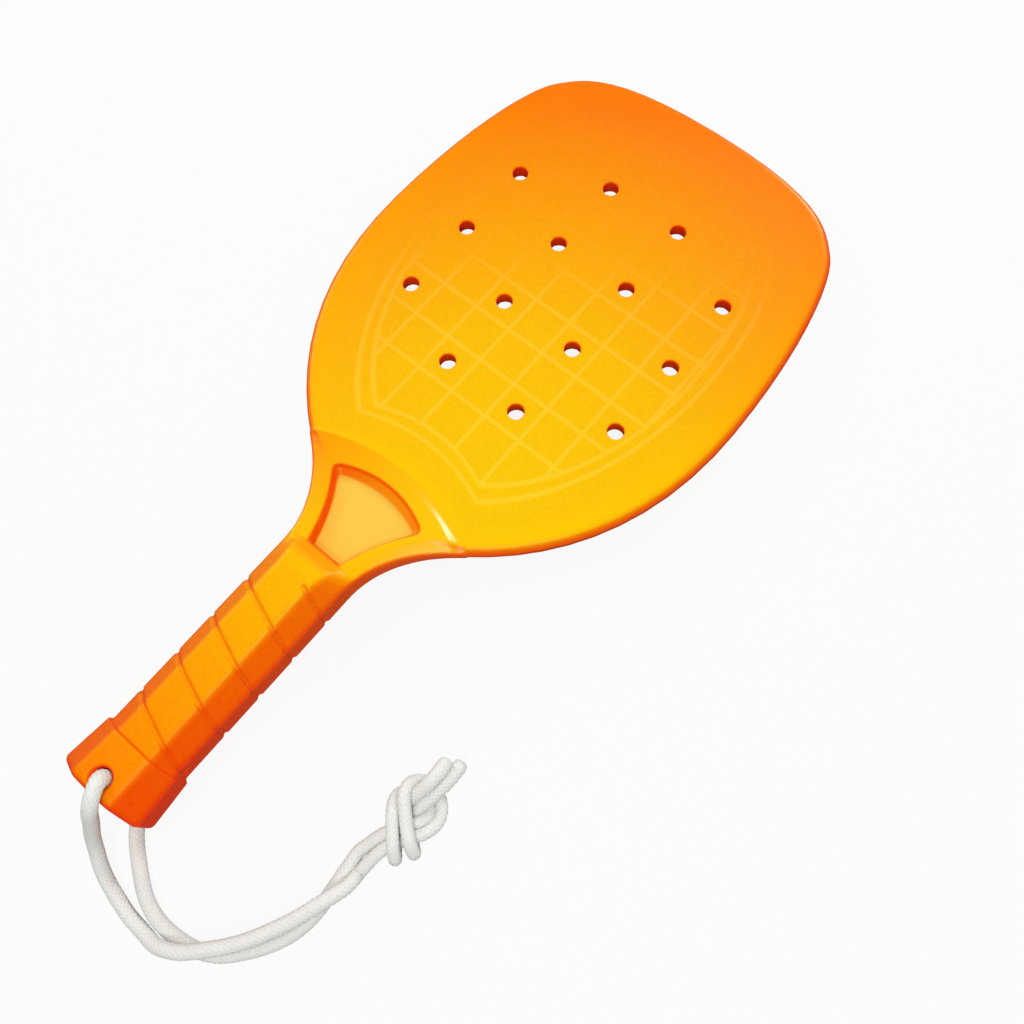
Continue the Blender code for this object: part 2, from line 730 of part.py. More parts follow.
def cord_piece(name, points, diameter, look, collection, end_diameter=None):
    """A tube of the cord along these points. It can taper to another diameter at its end."""
    data = bpy.data.curves.new(name, "CURVE")
    data.dimensions = "3D"
    data.bevel_depth = diameter / 2
    data.bevel_resolution = 2
    data.use_fill_caps = True
    spline = data.splines.new("POLY")
    spline.points.add(len(points) - 1)
    left = 0.0
    for index in range(len(points) - 1, -1, -1):
        if index < len(points) - 1:
            left += float(np.linalg.norm(points[index + 1] - points[index]))
        spline.points[index].co = (*points[index], 1.0)
        if end_diameter is not None:
            share = min(left / KNOT_TAPER_LENGTH, 1.0)
            spline.points[index].radius = (end_diameter + (diameter - end_diameter) * share) / diameter
    obj = bpy.data.objects.new(name, data)
    collection.objects.link(obj)
    data.materials.append(look)
    return obj


def cord(placing, look, collection):
    """The wrist cord: a stretch in the bore, two free strands, and the knot that joins them."""
    half = butt_half_thickness()
    lower_mouth = placing @ Vector((0.0, BORE_Y, -half))
    upper_mouth = placing @ Vector((0.0, BORE_Y, half))
    axis = (upper_mouth - lower_mouth).normalized()
    foot = Vector((lower_mouth.x, lower_mouth.y, 0.0))
    knot_lower = knot_strand(KNOT_LOWER, foot)
    knot_upper = knot_strand(KNOT_UPPER, foot)

    low = lower_mouth + axis * BEND_IN_BORE
    high = upper_mouth - axis * BEND_IN_BORE
    gap = axis * CORD_GAP
    cord_piece("cord_in_bore", [np.array(low + gap), np.array(high - gap)], CORD_DIAMETER, look, collection)

    upper = [high, high + axis * BEND_IN_BORE / 2]
    upper += [upper_mouth + Vector(point) * MM for point in ARCH]
    upper += [foot + Vector(point) * MM for point in UPPER_STRAND]
    lower = [low, low - axis * BEND_IN_BORE / 2]
    lower += [foot + Vector(point) * MM for point in LOWER_STRAND]
    for name, route, knot in (
        ("cord_upper_strand", upper, knot_upper),
        ("cord_lower_strand", lower, knot_lower),
    ):
        into_knot = (knot[1] - knot[0]) / np.linalg.norm(knot[1] - knot[0])
        route += [knot[0] - into_knot * run for run in (RUN_INTO_KNOT, CORD_GAP)]
        points = smooth_through([np.array(point) for point in route], ROUTE_STEP)
        points[:, 2] = np.maximum(points[:, 2], CORD_DIAMETER / 2)
        points = bend_steps(points)
        cord_piece(name, points, CORD_DIAMETER, look, collection, KNOT_CORD_DIAMETER)
    cord_piece("knot_upper_strand", list(knot_upper), KNOT_CORD_DIAMETER, look, collection)
    cord_piece("knot_lower_strand", list(knot_lower), KNOT_CORD_DIAMETER, look, collection)


def main():
    for obj in list(bpy.data.objects):
        bpy.data.objects.remove(obj)
    scene = bpy.context.scene
    parts = bpy.data.collections.new("paddleball_paddle")
    cutters = bpy.data.collections.new("cutters")
    scene.collection.children.link(parts)
    scene.collection.children.link(cutters)

    plastic = material("orange_plastic", (1.0, 0.33, 0.0), 0.38)
    braid = material("white_cord", (0.86, 0.86, 0.83), 0.85)

    placing = rest_placement()
    rest = bpy.data.objects.new("rest", None)
    parts.objects.link(rest)
    rest.matrix_world = placing
    moulding = paddle(parts, cutters)
    moulding.data.materials.append(plastic)
    moulding.parent = rest
    for helper in cutters.objects:
        helper.parent = rest
    cord(placing, braid, parts)


main()
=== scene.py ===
# %% [markdown]
# # A moulded paddleball paddle and its wrist cord
#
# The real thing is one injection moulding in orange plastic, with a white braided cord through
# its butt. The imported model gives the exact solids. This lesson makes the surface that one sees:
# soft mould edges, a grained face with smooth strings, and a cord that is really braided.

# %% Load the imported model
import json
import math

import bmesh
import bpy
import numpy as np
from mathutils import Matrix, Vector


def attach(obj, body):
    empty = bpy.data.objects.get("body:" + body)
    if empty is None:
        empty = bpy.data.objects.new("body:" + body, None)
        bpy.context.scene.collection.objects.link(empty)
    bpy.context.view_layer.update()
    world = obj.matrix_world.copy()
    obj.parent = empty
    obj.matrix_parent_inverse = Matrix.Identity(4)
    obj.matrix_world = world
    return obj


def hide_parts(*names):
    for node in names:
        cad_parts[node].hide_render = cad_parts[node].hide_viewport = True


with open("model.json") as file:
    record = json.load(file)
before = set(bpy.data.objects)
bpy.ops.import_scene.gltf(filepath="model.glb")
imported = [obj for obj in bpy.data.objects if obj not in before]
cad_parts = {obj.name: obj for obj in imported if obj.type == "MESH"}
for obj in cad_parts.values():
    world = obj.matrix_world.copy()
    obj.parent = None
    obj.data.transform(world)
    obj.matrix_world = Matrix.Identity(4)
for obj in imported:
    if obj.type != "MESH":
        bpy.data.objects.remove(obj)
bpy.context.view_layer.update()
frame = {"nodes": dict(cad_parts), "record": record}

MM = 0.001

# %% [markdown]
# ## The paddle's own frame
#
# The paddle lies tilted, with its tip on the surface and its butt on the cord. Every size on it is
# easier to say in its own frame: X across, Y towards the tip, Z square to the face, and zero in the
# middle of its thickness on the lowest row of holes. One mount gives that frame: a point of known
# place on the upper face, and the face's normal.

# %% Find the paddle's own frame
FACE_POINT = Vector((0.0, 57.0, 3.6)) * MM

mounts = {mount["name"]: mount for mount in frame["record"]["mounts"]}
face = mounts["blade_upper_face"]
across = Vector((1.0, 0.0, 0.0))
normal = Vector(face["axis"]).normalized()
along = normal.cross(across)
placing = Matrix((across, along, normal)).transposed().to_4x4()
placing.translation = Vector(face["pos_m"]) - placing.to_3x3() @ FACE_POINT
print("Tilt in degrees", math.degrees(math.acos(normal.z)))

# %% [markdown]
# ## Camera
#
# The photograph was taken from above the handle's side. The grid of air holes is even, so it gives
# the camera: its place and its axes are written in the paddle's own frame, and its focal length in
# pixels of the square picture becomes a lens for Blender's 36 mm sensor.

# %% Add an object to the scene
def new_object(name, data):
    """An object with this data, linked to the scene."""
    made = bpy.data.objects.new(name, data)
    bpy.context.scene.collection.objects.link(made)
    return made


# %% Make the camera
CAMERA_PLACE = Vector((137.8, -129.2, 365.3)) * MM
CAMERA_BACK = Vector((0.2378, -0.2438, 0.9402))
CAMERA_RIGHT = Vector((0.7690, 0.6386, -0.0289))
FOCAL_PIXELS = 954.69
PICTURE_PIXELS = 1024
SENSOR_WIDTH = 36.0

back = CAMERA_BACK.normalized()
right = (CAMERA_RIGHT - CAMERA_RIGHT.dot(back) * back).normalized()
axes = Matrix((right, back.cross(right), back)).transposed().to_4x4()
axes.translation = CAMERA_PLACE
camera = new_object("camera", bpy.data.cameras.new("camera"))
camera.matrix_world = placing @ axes
camera.data.sensor_width = SENSOR_WIDTH
camera.data.lens = SENSOR_WIDTH * FOCAL_PIXELS / PICTURE_PIXELS
bpy.context.scene.camera = camera
print("Lens in millimetres", camera.data.lens)

# %% [markdown]
# ## The cord's route
#
# The cord is one length. It goes through the bore in the butt, and its two strands are tied
# together in an overhand knot. The upper strand arches over the end of the butt and falls to the
# surface. The lower one bends under the butt. In the knot each strand goes in under the wraps,
# round the loop, over as a wrap, back underneath, and out through the loop. The points count in
# millimetres: the arch from the middle of the bore's upper mouth, and all others from the place
# right under its lower mouth.

# %% Write down the route
BORE_Y = -209.3 * MM
BORE_HALF_LENGTH = 16.59 * MM
BEND_IN_BORE = 5.0 * MM
RUN_INTO_KNOT = 4.0 * MM
CORD_DIAMETER = 6.0 * MM
KNOT_CORD_DIAMETER = 5.3 * MM
KNOT_TAPER_LENGTH = 16.0 * MM
KNOT_STEP = 1.5 * MM
KNOT_SMOOTHING = 3

ARCH = (
    (0.3, 0.2, 0.9),
    (1.9, -1.4, 4.1),
    (3.8, -4.4, 4.9),
    (5.3, -8.0, 3.4),
    (5.5, -11.3, -1.0),
    (5.1, -14.3, -7.0),
    (4.7, -18.2, -14.0),
)
UPPER_STRAND = (
    (4.2, -20.6, 20.5),
    (6.2, -26.0, 12.0),
    (12.0, -31.7, 6.3),
    (21.8, -35.4, 3.6),
    (32.2, -37.3, 3.1),
    (39.4, -37.2, 3.7),
    (45.4, -37.0, 5.8),
    (51.0, -34.3, 8.8),
    (56.3, -31.0, 9.4),
    (61.6, -25.6, 9.6),
    (65.9, -21.0, 9.3),
    (70.3, -15.5, 8.9),
    (74.0, -9.8, 8.6),
    (77.3, -3.5, 8.5),
    (80.5, 3.0, 8.7),
    (82.9, 8.9, 9.2),
    (84.8, 14.3, 9.6),
    (86.9, 20.3, 9.0),
    (88.7, 25.8, 7.0),
)
LOWER_STRAND = (
    (0.7, -1.0, 7.5),
    (2.7, -3.6, 4.2),
    (5.5, -7.4, 3.0),
    (10.9, -14.7, 3.0),
    (16.1, -19.0, 3.0),
    (22.3, -23.3, 3.0),
    (29.3, -27.8, 3.0),
    (37.1, -30.5, 3.0),
    (45.6, -31.1, 3.0),
    (53.5, -30.0, 3.0),
    (60.6, -28.1, 3.0),
    (66.8, -24.6, 3.0),
    (73.1, -18.0, 3.0),
    (79.0, -9.9, 3.0),
    (83.4, -0.7, 3.0),
    (85.1, 8.3, 3.0),
    (84.8, 17.1, 3.0),
    (83.9, 25.8, 3.0),
)
KNOT_UPPER = (
    (88.7, 34.9, 5.2),
    (89.1, 39.4, 6.0),
    (90.0, 44.0, 6.8),
    (91.9, 48.0, 6.9),
    (94.1, 51.6, 6.9),
    (95.4, 53.6, 6.9),
    (97.1, 55.8, 6.7),
    (99.1, 59.6, 5.5),
    (99.7, 64.0, 3.9),
    (97.9, 68.1, 2.6),
    (94.7, 71.1, 2.3),
    (90.3, 72.5, 2.2),
    (86.2, 72.4, 3.0),
    (83.2, 70.7, 5.4),
    (82.2, 67.5, 9.4),
    (83.8, 64.1, 11.8),
    (86.9, 61.1, 11.7),
    (90.0, 58.1, 11.5),
    (93.2, 55.3, 11.5),
    (96.2, 53.1, 11.8),
    (98.7, 51.2, 10.0),
    (100.5, 50.1, 7.2),
    (99.9, 50.2, 4.2),
    (97.1, 51.8, 2.3),
    (94.0, 54.0, 2.2),
    (91.3, 56.1, 2.2),
    (89.7, 58.3, 2.8),
    (89.7, 60.4, 4.4),
    (90.6, 63.0, 6.2),
    (91.5, 66.4, 8.1),
    (92.3, 71.2, 8.8),
    (93.0, 76.6, 8.5),
    (93.2, 82.2, 8.1),
    (92.8, 88.0, 7.6),
)
KNOT_LOWER = (
    (84.0, 40.2, 4.6),
    (85.0, 43.8, 5.6),
    (86.4, 47.8, 6.6),
    (88.6, 51.7, 6.9),
    (90.9, 55.3, 6.9),
    (93.3, 58.6, 6.7),
    (95.0, 61.8, 5.4),
    (94.9, 65.1, 4.0),
    (92.6, 67.0, 3.0),
    (89.3, 67.4, 2.3),
    (85.9, 66.3, 2.2),
    (82.7, 65.2, 3.2),
    (81.1, 62.8, 5.8),
    (82.0, 59.8, 8.8),
    (84.1, 57.1, 11.0),
    (86.9, 53.9, 11.6),
    (89.8, 50.8, 11.7),
    (92.6, 47.9, 11.9),
    (95.1, 45.5, 10.1),
    (96.3, 43.9, 7.0),
    (95.6, 44.0, 4.2),
    (93.3, 46.0, 2.4),
    (90.8, 49.1, 2.2),
    (88.3, 52.3, 2.2),
    (86.6, 54.7, 2.8),
    (85.5, 57.2, 4.4),
    (85.5, 60.0, 5.7),
    (86.2, 63.3, 6.7),
    (87.1, 67.2, 9.0),
    (88.3, 71.8, 12.0),
    (88.9, 76.1, 13.2),
    (88.9, 80.6, 12.8),
    (88.3, 85.1, 11.6),
)


# %% Draw a smooth curve through points
def smooth_through(points, step):
    """Evenly spaced points on a smooth curve through these points."""
    points = np.array(points, float)
    sides = np.diff(points, axis=0)
    lengths = np.linalg.norm(sides, axis=1)
    ways = sides / lengths[:, None]
    slopes = np.empty_like(points)
    before, after = lengths[:-1, None], lengths[1:, None]
    slopes[1:-1] = (ways[:-1] * after + ways[1:] * before) / (before + after)
    slopes[0] = ways[0]
    slopes[-1] = ways[-1]
    starts = np.concatenate(([0.0], np.cumsum(lengths)))
    places = np.linspace(0.0, starts[-1], round(starts[-1] / step) + 1)
    piece = np.clip(np.searchsorted(starts, places, side="right") - 1, 0, len(lengths) - 1)
    reach = lengths[piece][:, None]
    u = (places - starts[piece])[:, None] / reach
    return (
        (1 + 2 * u) * (1 - u) ** 2 * points[piece]
        + u * (1 - u) ** 2 * reach * slopes[piece]
        + u**2 * (3 - 2 * u) * points[piece + 1]
        + u**2 * (u - 1) * reach * slopes[piece + 1]
    )


# %% Place the bore
bore_middle = placing @ Vector((0.0, BORE_Y, 0.0))
lower_mouth = placing @ Vector((0.0, BORE_Y, -BORE_HALF_LENGTH))
upper_mouth = placing @ Vector((0.0, BORE_Y, BORE_HALF_LENGTH))
foot = Vector((lower_mouth.x, lower_mouth.y, 0.0))
bore_way = (upper_mouth - lower_mouth).normalized()
print("Lower mouth of the bore", tuple(lower_mouth))


# %% Draw each strand through the knot
def knot_strand(points):
    """Smooth route of one strand through the knot, pressed flat where it meets the surface."""
    strand = smooth_through([foot + Vector(point) * MM for point in points], KNOT_STEP)
    for _ in range(KNOT_SMOOTHING):
        strand[1:-1] = strand[1:-1] / 2 + (strand[:-2] + strand[2:]) / 4
    strand[:, 2] = np.maximum(strand[:, 2], KNOT_CORD_DIAMETER / 2)
    return strand


# %% Draw one strand from the bore to its tail
ROUTE_STEP = 1.0 * MM
RING_STEP = 0.25 * MM
ROUTE_SMOOTHING = 14


def from_bore_to_tail(start, mouth, way, points, knot):
    """Fine points of one strand, and how far each lies before the knot."""
    into_knot = (knot[1] - knot[0]) / np.linalg.norm(knot[1] - knot[0])
    string_strength = mouth - way * BEND_IN_BORE
    route = [start, string_strength, string_strength + way * BEND_IN_BORE / 2, *points, knot[0] - into_knot * RUN_INTO_KNOT]
    free = smooth_through([np.array(point) for point in route], ROUTE_STEP)
    for _ in range(ROUTE_SMOOTHING):
        free[1:-1] = free[1:-1] / 2 + (free[:-2] + free[2:]) / 4
    free[:, 2] = np.maximum(free[:, 2], CORD_DIAMETER / 2)
    path = smooth_through(np.concatenate((free, knot)), RING_STEP)
    in_knot = int(np.argmin(np.linalg.norm(path - knot[0], axis=1)))
    return path, (in_knot - np.arange(len(path))) * RING_STEP


# %% Draw both strands
knot_lower = knot_strand(KNOT_LOWER)
knot_upper = knot_strand(KNOT_UPPER)
arch = [upper_mouth + Vector(point) * MM for point in ARCH]
upper_points = arch + [foot + Vector(point) * MM for point in UPPER_STRAND]
lower_points = [foot + Vector(point) * MM for point in LOWER_STRAND]
strands = {
    "cord_upper": from_bore_to_tail(bore_middle, upper_mouth, bore_way, upper_points, knot_upper),
    "cord_lower": from_bore_to_tail(bore_middle, lower_mouth, -bore_way, lower_points, knot_lower),
}
for name, (path, before_knot) in strands.items():
    print(name, "metres long", round((len(path) - 1) * RING_STEP, 4))


# %% [markdown]
# ## Node helpers
#
# Geometry trees and shader trees take the same maths nodes, so two small helpers serve both. Three
# more start a material and mix its colours. The others start a tree of geometry nodes with its named
# inputs, end it in real geometry with its material, and put it on an object, where the value of each
# input is set by the identifier of its socket.

# %% Add nodes in one line
def add_node(tree, kind, inputs=(), **settings):
    """A node with these settings and inputs. An input is a value or another node's output."""
    made = tree.nodes.new(kind)
    for key, value in settings.items():
        setattr(made, key, value)
    for key, value in dict(inputs).items():
        if isinstance(value, bpy.types.NodeSocket):
            tree.links.new(value, made.inputs[key])
        else:
            made.inputs[key].default_value = value
    return made


def calculate(tree, operation, *values):
    """The output of one maths node on these values."""
    return add_node(tree, "ShaderNodeMath", enumerate(values), operation=operation).outputs[0]


# %% Start a material
def new_material(name, finish):
    """A material, its tree and its main shader with these values."""
    made = bpy.data.materials.new(name)
    made.use_nodes = True
    shader = made.node_tree.nodes["Principled BSDF"]
    for label, value in finish.items():
        shader.inputs[label].default_value = value
    return made, made.node_tree, shader


# %% Blend and ramp colours
def blend_colours(tree, share, first, second, way="MIX"):
    """The output of one colour mix: the first where share is 0, and the second where it is 1."""
    return add_node(
        tree, "ShaderNodeMix", {0: share, 6: first, 7: second}, data_type="RGBA", blend_type=way
    ).outputs[2]


def colour_ramp(tree, value, stops):
    """A ramp through these (place, colour) stops."""
    ramp = add_node(tree, "ShaderNodeValToRGB", {"Fac": value})
    elements = ramp.color_ramp.elements
    while len(elements) < len(stops):
        elements.new(1.0)
    for element, (place, colour) in zip(elements, stops):
        element.position = place
        element.color = colour
    return ramp.outputs["Color"]


# %% Start, end and use a tree of geometry nodes
def new_tree(name, inputs, output):
    """An empty tree with these inputs, and the sockets that their values come from."""
    tree = bpy.data.node_groups.new(name, "GeometryNodeTree")
    for label, kind in inputs:
        tree.interface.new_socket(label, in_out="INPUT", socket_type="NodeSocket" + kind)
    tree.interface.new_socket(output, in_out="OUTPUT", socket_type="NodeSocketGeometry")
    return tree, tree.nodes.new("NodeGroupInput").outputs


def end_tree(tree, geometry, material):
    """End a tree in real geometry with its material."""
    real = add_node(tree, "GeometryNodeRealizeInstances", {"Geometry": geometry})
    looks = add_node(
        tree, "GeometryNodeSetMaterial", {"Geometry": real.outputs[0], "Material": material}
    )
    tree.links.new(looks.outputs[0], tree.nodes.new("NodeGroupOutput").inputs[0])


def put_tree_on(obj, tree, sizes):
    """A modifier with this tree, whose inputs are set by the identifiers of its sockets."""
    modifier = obj.modifiers.new(tree.name, "NODES")
    modifier.node_group = tree
    sockets = {item.name: item.identifier for item in tree.interface.items_tree if item.in_out == "INPUT"}
    for label, value in sizes.items():
        modifier[sockets[label]] = value


# %% [markdown]
# ## The braid
#
# A braided cord has two sets of yarns that wind in opposite directions and pass over and under each
# other. On the unrolled surface each set is a ramp: around plus along for one, around minus along
# for the other. The ramp's fraction says how far one is across a yarn, and a cosine along the other
# ramp lifts the yarn where it passes over. The higher of the two is the surface. A tree of
# geometry nodes does this to any curve, so one tree makes both strands.

# %% Raise the yarns
YARN_ROUNDNESS = 0.6


def yarn_height(tree, own, other, sign):
    """Height of one set of yarns: round across its own ramp, and a wave along the other one."""
    index = calculate(tree, "FLOOR", own)
    across_yarn = calculate(tree, "MULTIPLY", calculate(tree, "FRACT", own), math.pi)
    across_yarn = calculate(tree, "SINE", across_yarn)
    turn = calculate(tree, "ADD", calculate(tree, "SUBTRACT", other, 0.5), index)
    wave = calculate(tree, "COSINE", calculate(tree, "MULTIPLY", turn, math.pi))
    wave = calculate(tree, "MULTIPLY", wave, (1.0 - YARN_ROUNDNESS) * sign)
    return calculate(tree, "MULTIPLY_ADD", across_yarn, YARN_ROUNDNESS, wave)


# %% Make a tube that knows its places
def store(tree, geometry, name, value):
    """The geometry with this value kept on it under a name."""
    return add_node(
        tree,
        "GeometryNodeStoreNamedAttribute",
        {"Geometry": geometry, "Name": name, "Value": value},
        data_type="FLOAT",
    ).outputs[0]


def stored(tree, name):
    """The value that the geometry keeps under this name."""
    return add_node(
        tree, "GeometryNodeInputNamedAttribute", {"Name": name}, data_type="FLOAT"
    ).outputs["Attribute"]


def marked_tube(tree, given):
    """A tube along the route that keeps how far round, how far along and how braided it is."""
    radius = calculate(tree, "MULTIPLY", given["Diameter"], 0.5)
    profile = add_node(
        tree, "GeometryNodeCurvePrimitiveCircle", {"Resolution": given["Sides"], "Radius": radius}
    )
    place = tree.nodes.new("GeometryNodeSplineParameter").outputs
    around = store(tree, profile.outputs["Curve"], "around", place["Factor"])
    route = store(tree, given["Route"], "along", place["Length"])
    whole = tree.nodes.new("GeometryNodeSplineLength").outputs["Length"]
    before_end = calculate(tree, "SUBTRACT", whole, place["Length"])
    fading = add_node(
        tree,
        "ShaderNodeMapRange",
        {"Value": before_end, "From Min": given["Melted length"], "From Max": given["Tip length"]},
    )
    return add_node(
        tree,
        "GeometryNodeCurveToMesh",
        {
            "Curve": store(tree, route, "braided", fading.outputs[0]),
            "Profile Curve": around,
            "Scale": tree.nodes.new("GeometryNodeInputRadius").outputs[0],
            "Fill Caps": True,
        },
    ).outputs[0]


# %% Build the braid's tree
YARNS_EACH_WAY = 8
STITCH_LENGTH = 2.1 * MM
BRAID_RELIEF = 0.34 * MM
SIDES_AROUND = 56
BRAID_INPUTS = (
    ("Route", "Geometry"),
    ("Diameter", "Float"),
    ("Yarns each way", "Float"),
    ("Stitch length", "Float"),
    ("Relief", "Float"),
    ("Melted length", "Float"),
    ("Tip length", "Float"),
    ("Sides", "Int"),
    ("Material", "Material"),
)


def braid_tree():
    """Geometry nodes that turn a curve into a braided cord with a closed end."""
    tree, given = new_tree("braided_cord", BRAID_INPUTS, "Cord")
    tube = marked_tube(tree, given)
    turns = calculate(tree, "MULTIPLY", stored(tree, "around"), given["Yarns each way"])
    stitches = calculate(tree, "DIVIDE", stored(tree, "along"), given["Stitch length"])
    right_ramp = calculate(tree, "ADD", turns, stitches)
    left_ramp = calculate(tree, "SUBTRACT", turns, stitches)
    right_yarns = yarn_height(tree, right_ramp, left_ramp, 1.0)
    left_yarns = yarn_height(tree, left_ramp, right_ramp, -1.0)
    height = calculate(tree, "MAXIMUM", right_yarns, left_yarns)
    height = calculate(tree, "MULTIPLY", height, stored(tree, "braided"))
    lift = calculate(tree, "MULTIPLY", calculate(tree, "SUBTRACT", height, 1.0), given["Relief"])
    outwards = add_node(
        tree,
        "ShaderNodeVectorMath",
        {0: tree.nodes.new("GeometryNodeInputNormal").outputs[0], "Scale": lift},
        operation="SCALE",
    )
    moved = add_node(tree, "GeometryNodeSetPosition", {"Geometry": tube, "Offset": outwards.outputs[0]})
    kept = store(tree, moved.outputs[0], "yarn_height", height)
    smooth = add_node(tree, "GeometryNodeSetShadeSmooth", {"Geometry": kept})
    end_tree(tree, smooth.outputs[0], given["Material"])
    return tree


braid = braid_tree()
print("Braid tree has", len(braid.nodes), "nodes")

# %% [markdown]
# ## The cord's finish
#
# White cord is never one white. The crests of the yarns catch the light, the gaps between them are
# painted grey as shade, and the fibres of each yarn make a fine irregular grain. The height that the
# tree stored paints shade into the gaps, and a little more where the cord turns away, at its edges.
# A coarse noise stains the cord in places, and a fine one gives the grain of its fibres.

# %% Make the cord's material
YARN_WHITE = (0.82, 0.83, 0.79, 1.0)
# Painted shade: the gaps between the yarns are painted grey.
PAINTED_GAP_SHADE = (0.76, 0.77, 0.73, 1.0)
# Painted shade: the cord's edges, where it turns away, are painted grey.
PAINTED_EDGE_SHADE_GREY = (0.46, 0.48, 0.42, 1.0)
YARN_TONES_WITH_GAP_SHADE = ((0.1, PAINTED_GAP_SHADE), (0.7, YARN_WHITE))
PAINTED_EDGE_SHADE_POWER = 3.0
FIBRE_SCALE = 2600.0
FIBRE_DETAIL = 2.0
FIBRE_HEIGHT = 0.1 * MM
FIBRE_STRENGTH = 0.35
STAIN_SCALE = 90.0
STAIN_DEPTH = 0.4
CORD_FINISH = {
    "Roughness": 0.55,
    "Subsurface Weight": 0.3,
    "Subsurface Radius": (1.0, 1.0, 1.0),
    "Subsurface Scale": 1.0 * MM,
    "Sheen Weight": 0.15,
    "Sheen Roughness": 0.5,
}


def cord_material():
    """White yarns with painted grey shade in the gaps and at the edges, and a fine grain of fibres."""
    made, tree, shader = new_material("white_cord", CORD_FINISH)
    place = tree.nodes.new("ShaderNodeTexCoord").outputs["Object"]
    height = add_node(tree, "ShaderNodeAttribute", attribute_name="yarn_height").outputs["Fac"]
    fibres = add_node(
        tree, "ShaderNodeTexNoise", {"Vector": place, "Scale": FIBRE_SCALE, "Detail": FIBRE_DETAIL}
    )
    stain = add_node(tree, "ShaderNodeTexNoise", {"Vector": place, "Scale": STAIN_SCALE})
    tone = calculate(tree, "MULTIPLY_ADD", stain.outputs["Fac"], STAIN_DEPTH, -STAIN_DEPTH / 2)
    # Painted shade: the low places between the yarns get the grey gap colour.
    yarns = colour_ramp(tree, calculate(tree, "ADD", height, tone), YARN_TONES_WITH_GAP_SHADE)
    # Painted shade: grey where the cord turns away from the camera.
    turned = tree.nodes.new("ShaderNodeLayerWeight").outputs["Facing"]
    turned = calculate(tree, "POWER", turned, PAINTED_EDGE_SHADE_POWER)
    colour = blend_colours(tree, turned, yarns, PAINTED_EDGE_SHADE_GREY)
    bump = add_node(
        tree,
        "ShaderNodeBump",
        {"Height": fibres.outputs["Fac"], "Strength": FIBRE_STRENGTH, "Distance": FIBRE_HEIGHT},
    )
    tree.links.new(colour, shader.inputs["Base Color"])
    tree.links.new(bump.outputs["Normal"], shader.inputs["Normal"])
    return made


white_cord = cord_material()

# %% [markdown]
# ## Making the two strands
#
# Each strand is a plain curve first. A point's radius is a share of the full one: the cord bulges
# to fill the bore, is pressed thinner in the tight knot, is itself again along its tail, and rounds
# off at its melted tip. The tree is put on the curve, and the evaluated result becomes a plain mesh.

# %% Draw a strand's curve
SLACK_IN_BORE = 0.16
BORE_TAPER = 6.0 * MM
LOOSE_TAIL = 12.0 * MM
TAIL_TAPER = 8.0 * MM
TIP_LENGTH = 2.6 * MM
MELTED_LENGTH = 1.6 * MM
LAST_RING = 0.99


def strand_curve(name, path, before_knot):
    """A curve along the path, pressed thinner in the knot and rounded at the melted tip."""
    data = bpy.data.curves.new(name, "CURVE")
    data.dimensions = "3D"
    spline = data.splines.new("POLY")
    spline.points.add(len(path) - 1)
    spline.points.foreach_set("co", np.column_stack((path, np.ones(len(path)))).ravel())
    thin = KNOT_CORD_DIAMETER / CORD_DIAMETER
    before_end = np.arange(len(path))[::-1] * RING_STEP
    loose = np.maximum(before_knot / KNOT_TAPER_LENGTH, 1.0 - (before_end - LOOSE_TAIL) / TAIL_TAPER)
    share = thin + (1.0 - thin) * np.clip(loose, 0.0, 1.0)
    from_bore = np.arange(len(path)) * RING_STEP - BORE_HALF_LENGTH
    share *= 1.0 + SLACK_IN_BORE * np.clip(1.0 - from_bore / BORE_TAPER, 0.0, 1.0)
    into_tip = np.clip(1.0 - before_end / MELTED_LENGTH, 0.0, LAST_RING)
    spline.points.foreach_set("radius", share * np.sqrt(1.0 - into_tip**2))
    return new_object(name, data)


# %% Make the strands
def plain_mesh(obj, name):
    """The evaluated object as a plain mesh object. The old object is removed."""
    bpy.context.view_layer.update()
    graph = bpy.context.evaluated_depsgraph_get()
    mesh = bpy.data.meshes.new_from_object(obj.evaluated_get(graph))
    bpy.data.objects.remove(obj)
    return new_object(name, mesh)


def triangles(obj):
    """How many triangles a mesh object has."""
    return sum(len(polygon.vertices) - 2 for polygon in obj.data.polygons)


def braided_strand(name, path, before_knot):
    """One strand of the cord as a plain mesh."""
    curve = strand_curve(name + "_route", path, before_knot)
    sizes = {
        "Diameter": CORD_DIAMETER,
        "Yarns each way": float(YARNS_EACH_WAY),
        "Stitch length": STITCH_LENGTH,
        "Relief": BRAID_RELIEF,
        "Melted length": MELTED_LENGTH,
        "Tip length": TIP_LENGTH,
        "Sides": SIDES_AROUND,
        "Material": white_cord,
    }
    put_tree_on(curve, braid, sizes)
    return plain_mesh(curve, name)


for name, mouth, replaced in (
    ("cord_upper", upper_mouth, ("cord_in_bore", "cord_upper_strand", "knot_upper_strand")),
    ("cord_lower", lower_mouth, ("cord_lower_strand", "knot_lower_strand")),
):
    path, before_knot = strands[name]
    strand = braided_strand(name, path, before_knot)
    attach(strand, "root")
    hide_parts(*replaced)
    print(name, "triangles", triangles(strand))

# %% [markdown]
# ## The plastic's colour
#
# The plastic is a clear orange with some light going through it. Low on the blade a painted pool of
# light makes it a yellow orange, and the colour deepens evenly with the distance from there, to the
# tip and to the butt. Where the surface turns away from the light, on the chamfers, the rim, the hole
# walls and the sides, painted shade turns the colour red. The upright wall of the rim gets darker
# painted shade still, and painted shade makes the collar deeper in colour at its left end, down to
# where its band runs out on the throat. The thin web is painted palest, as light shining through it.
# All places are counted in millimetres in the paddle's own frame.

# %% Turn picture values into light
SRGB_LINE_END = 0.04045
SRGB_LINE_SLOPE = 12.92
SRGB_OFFSET = 0.055
SRGB_POWER = 2.4


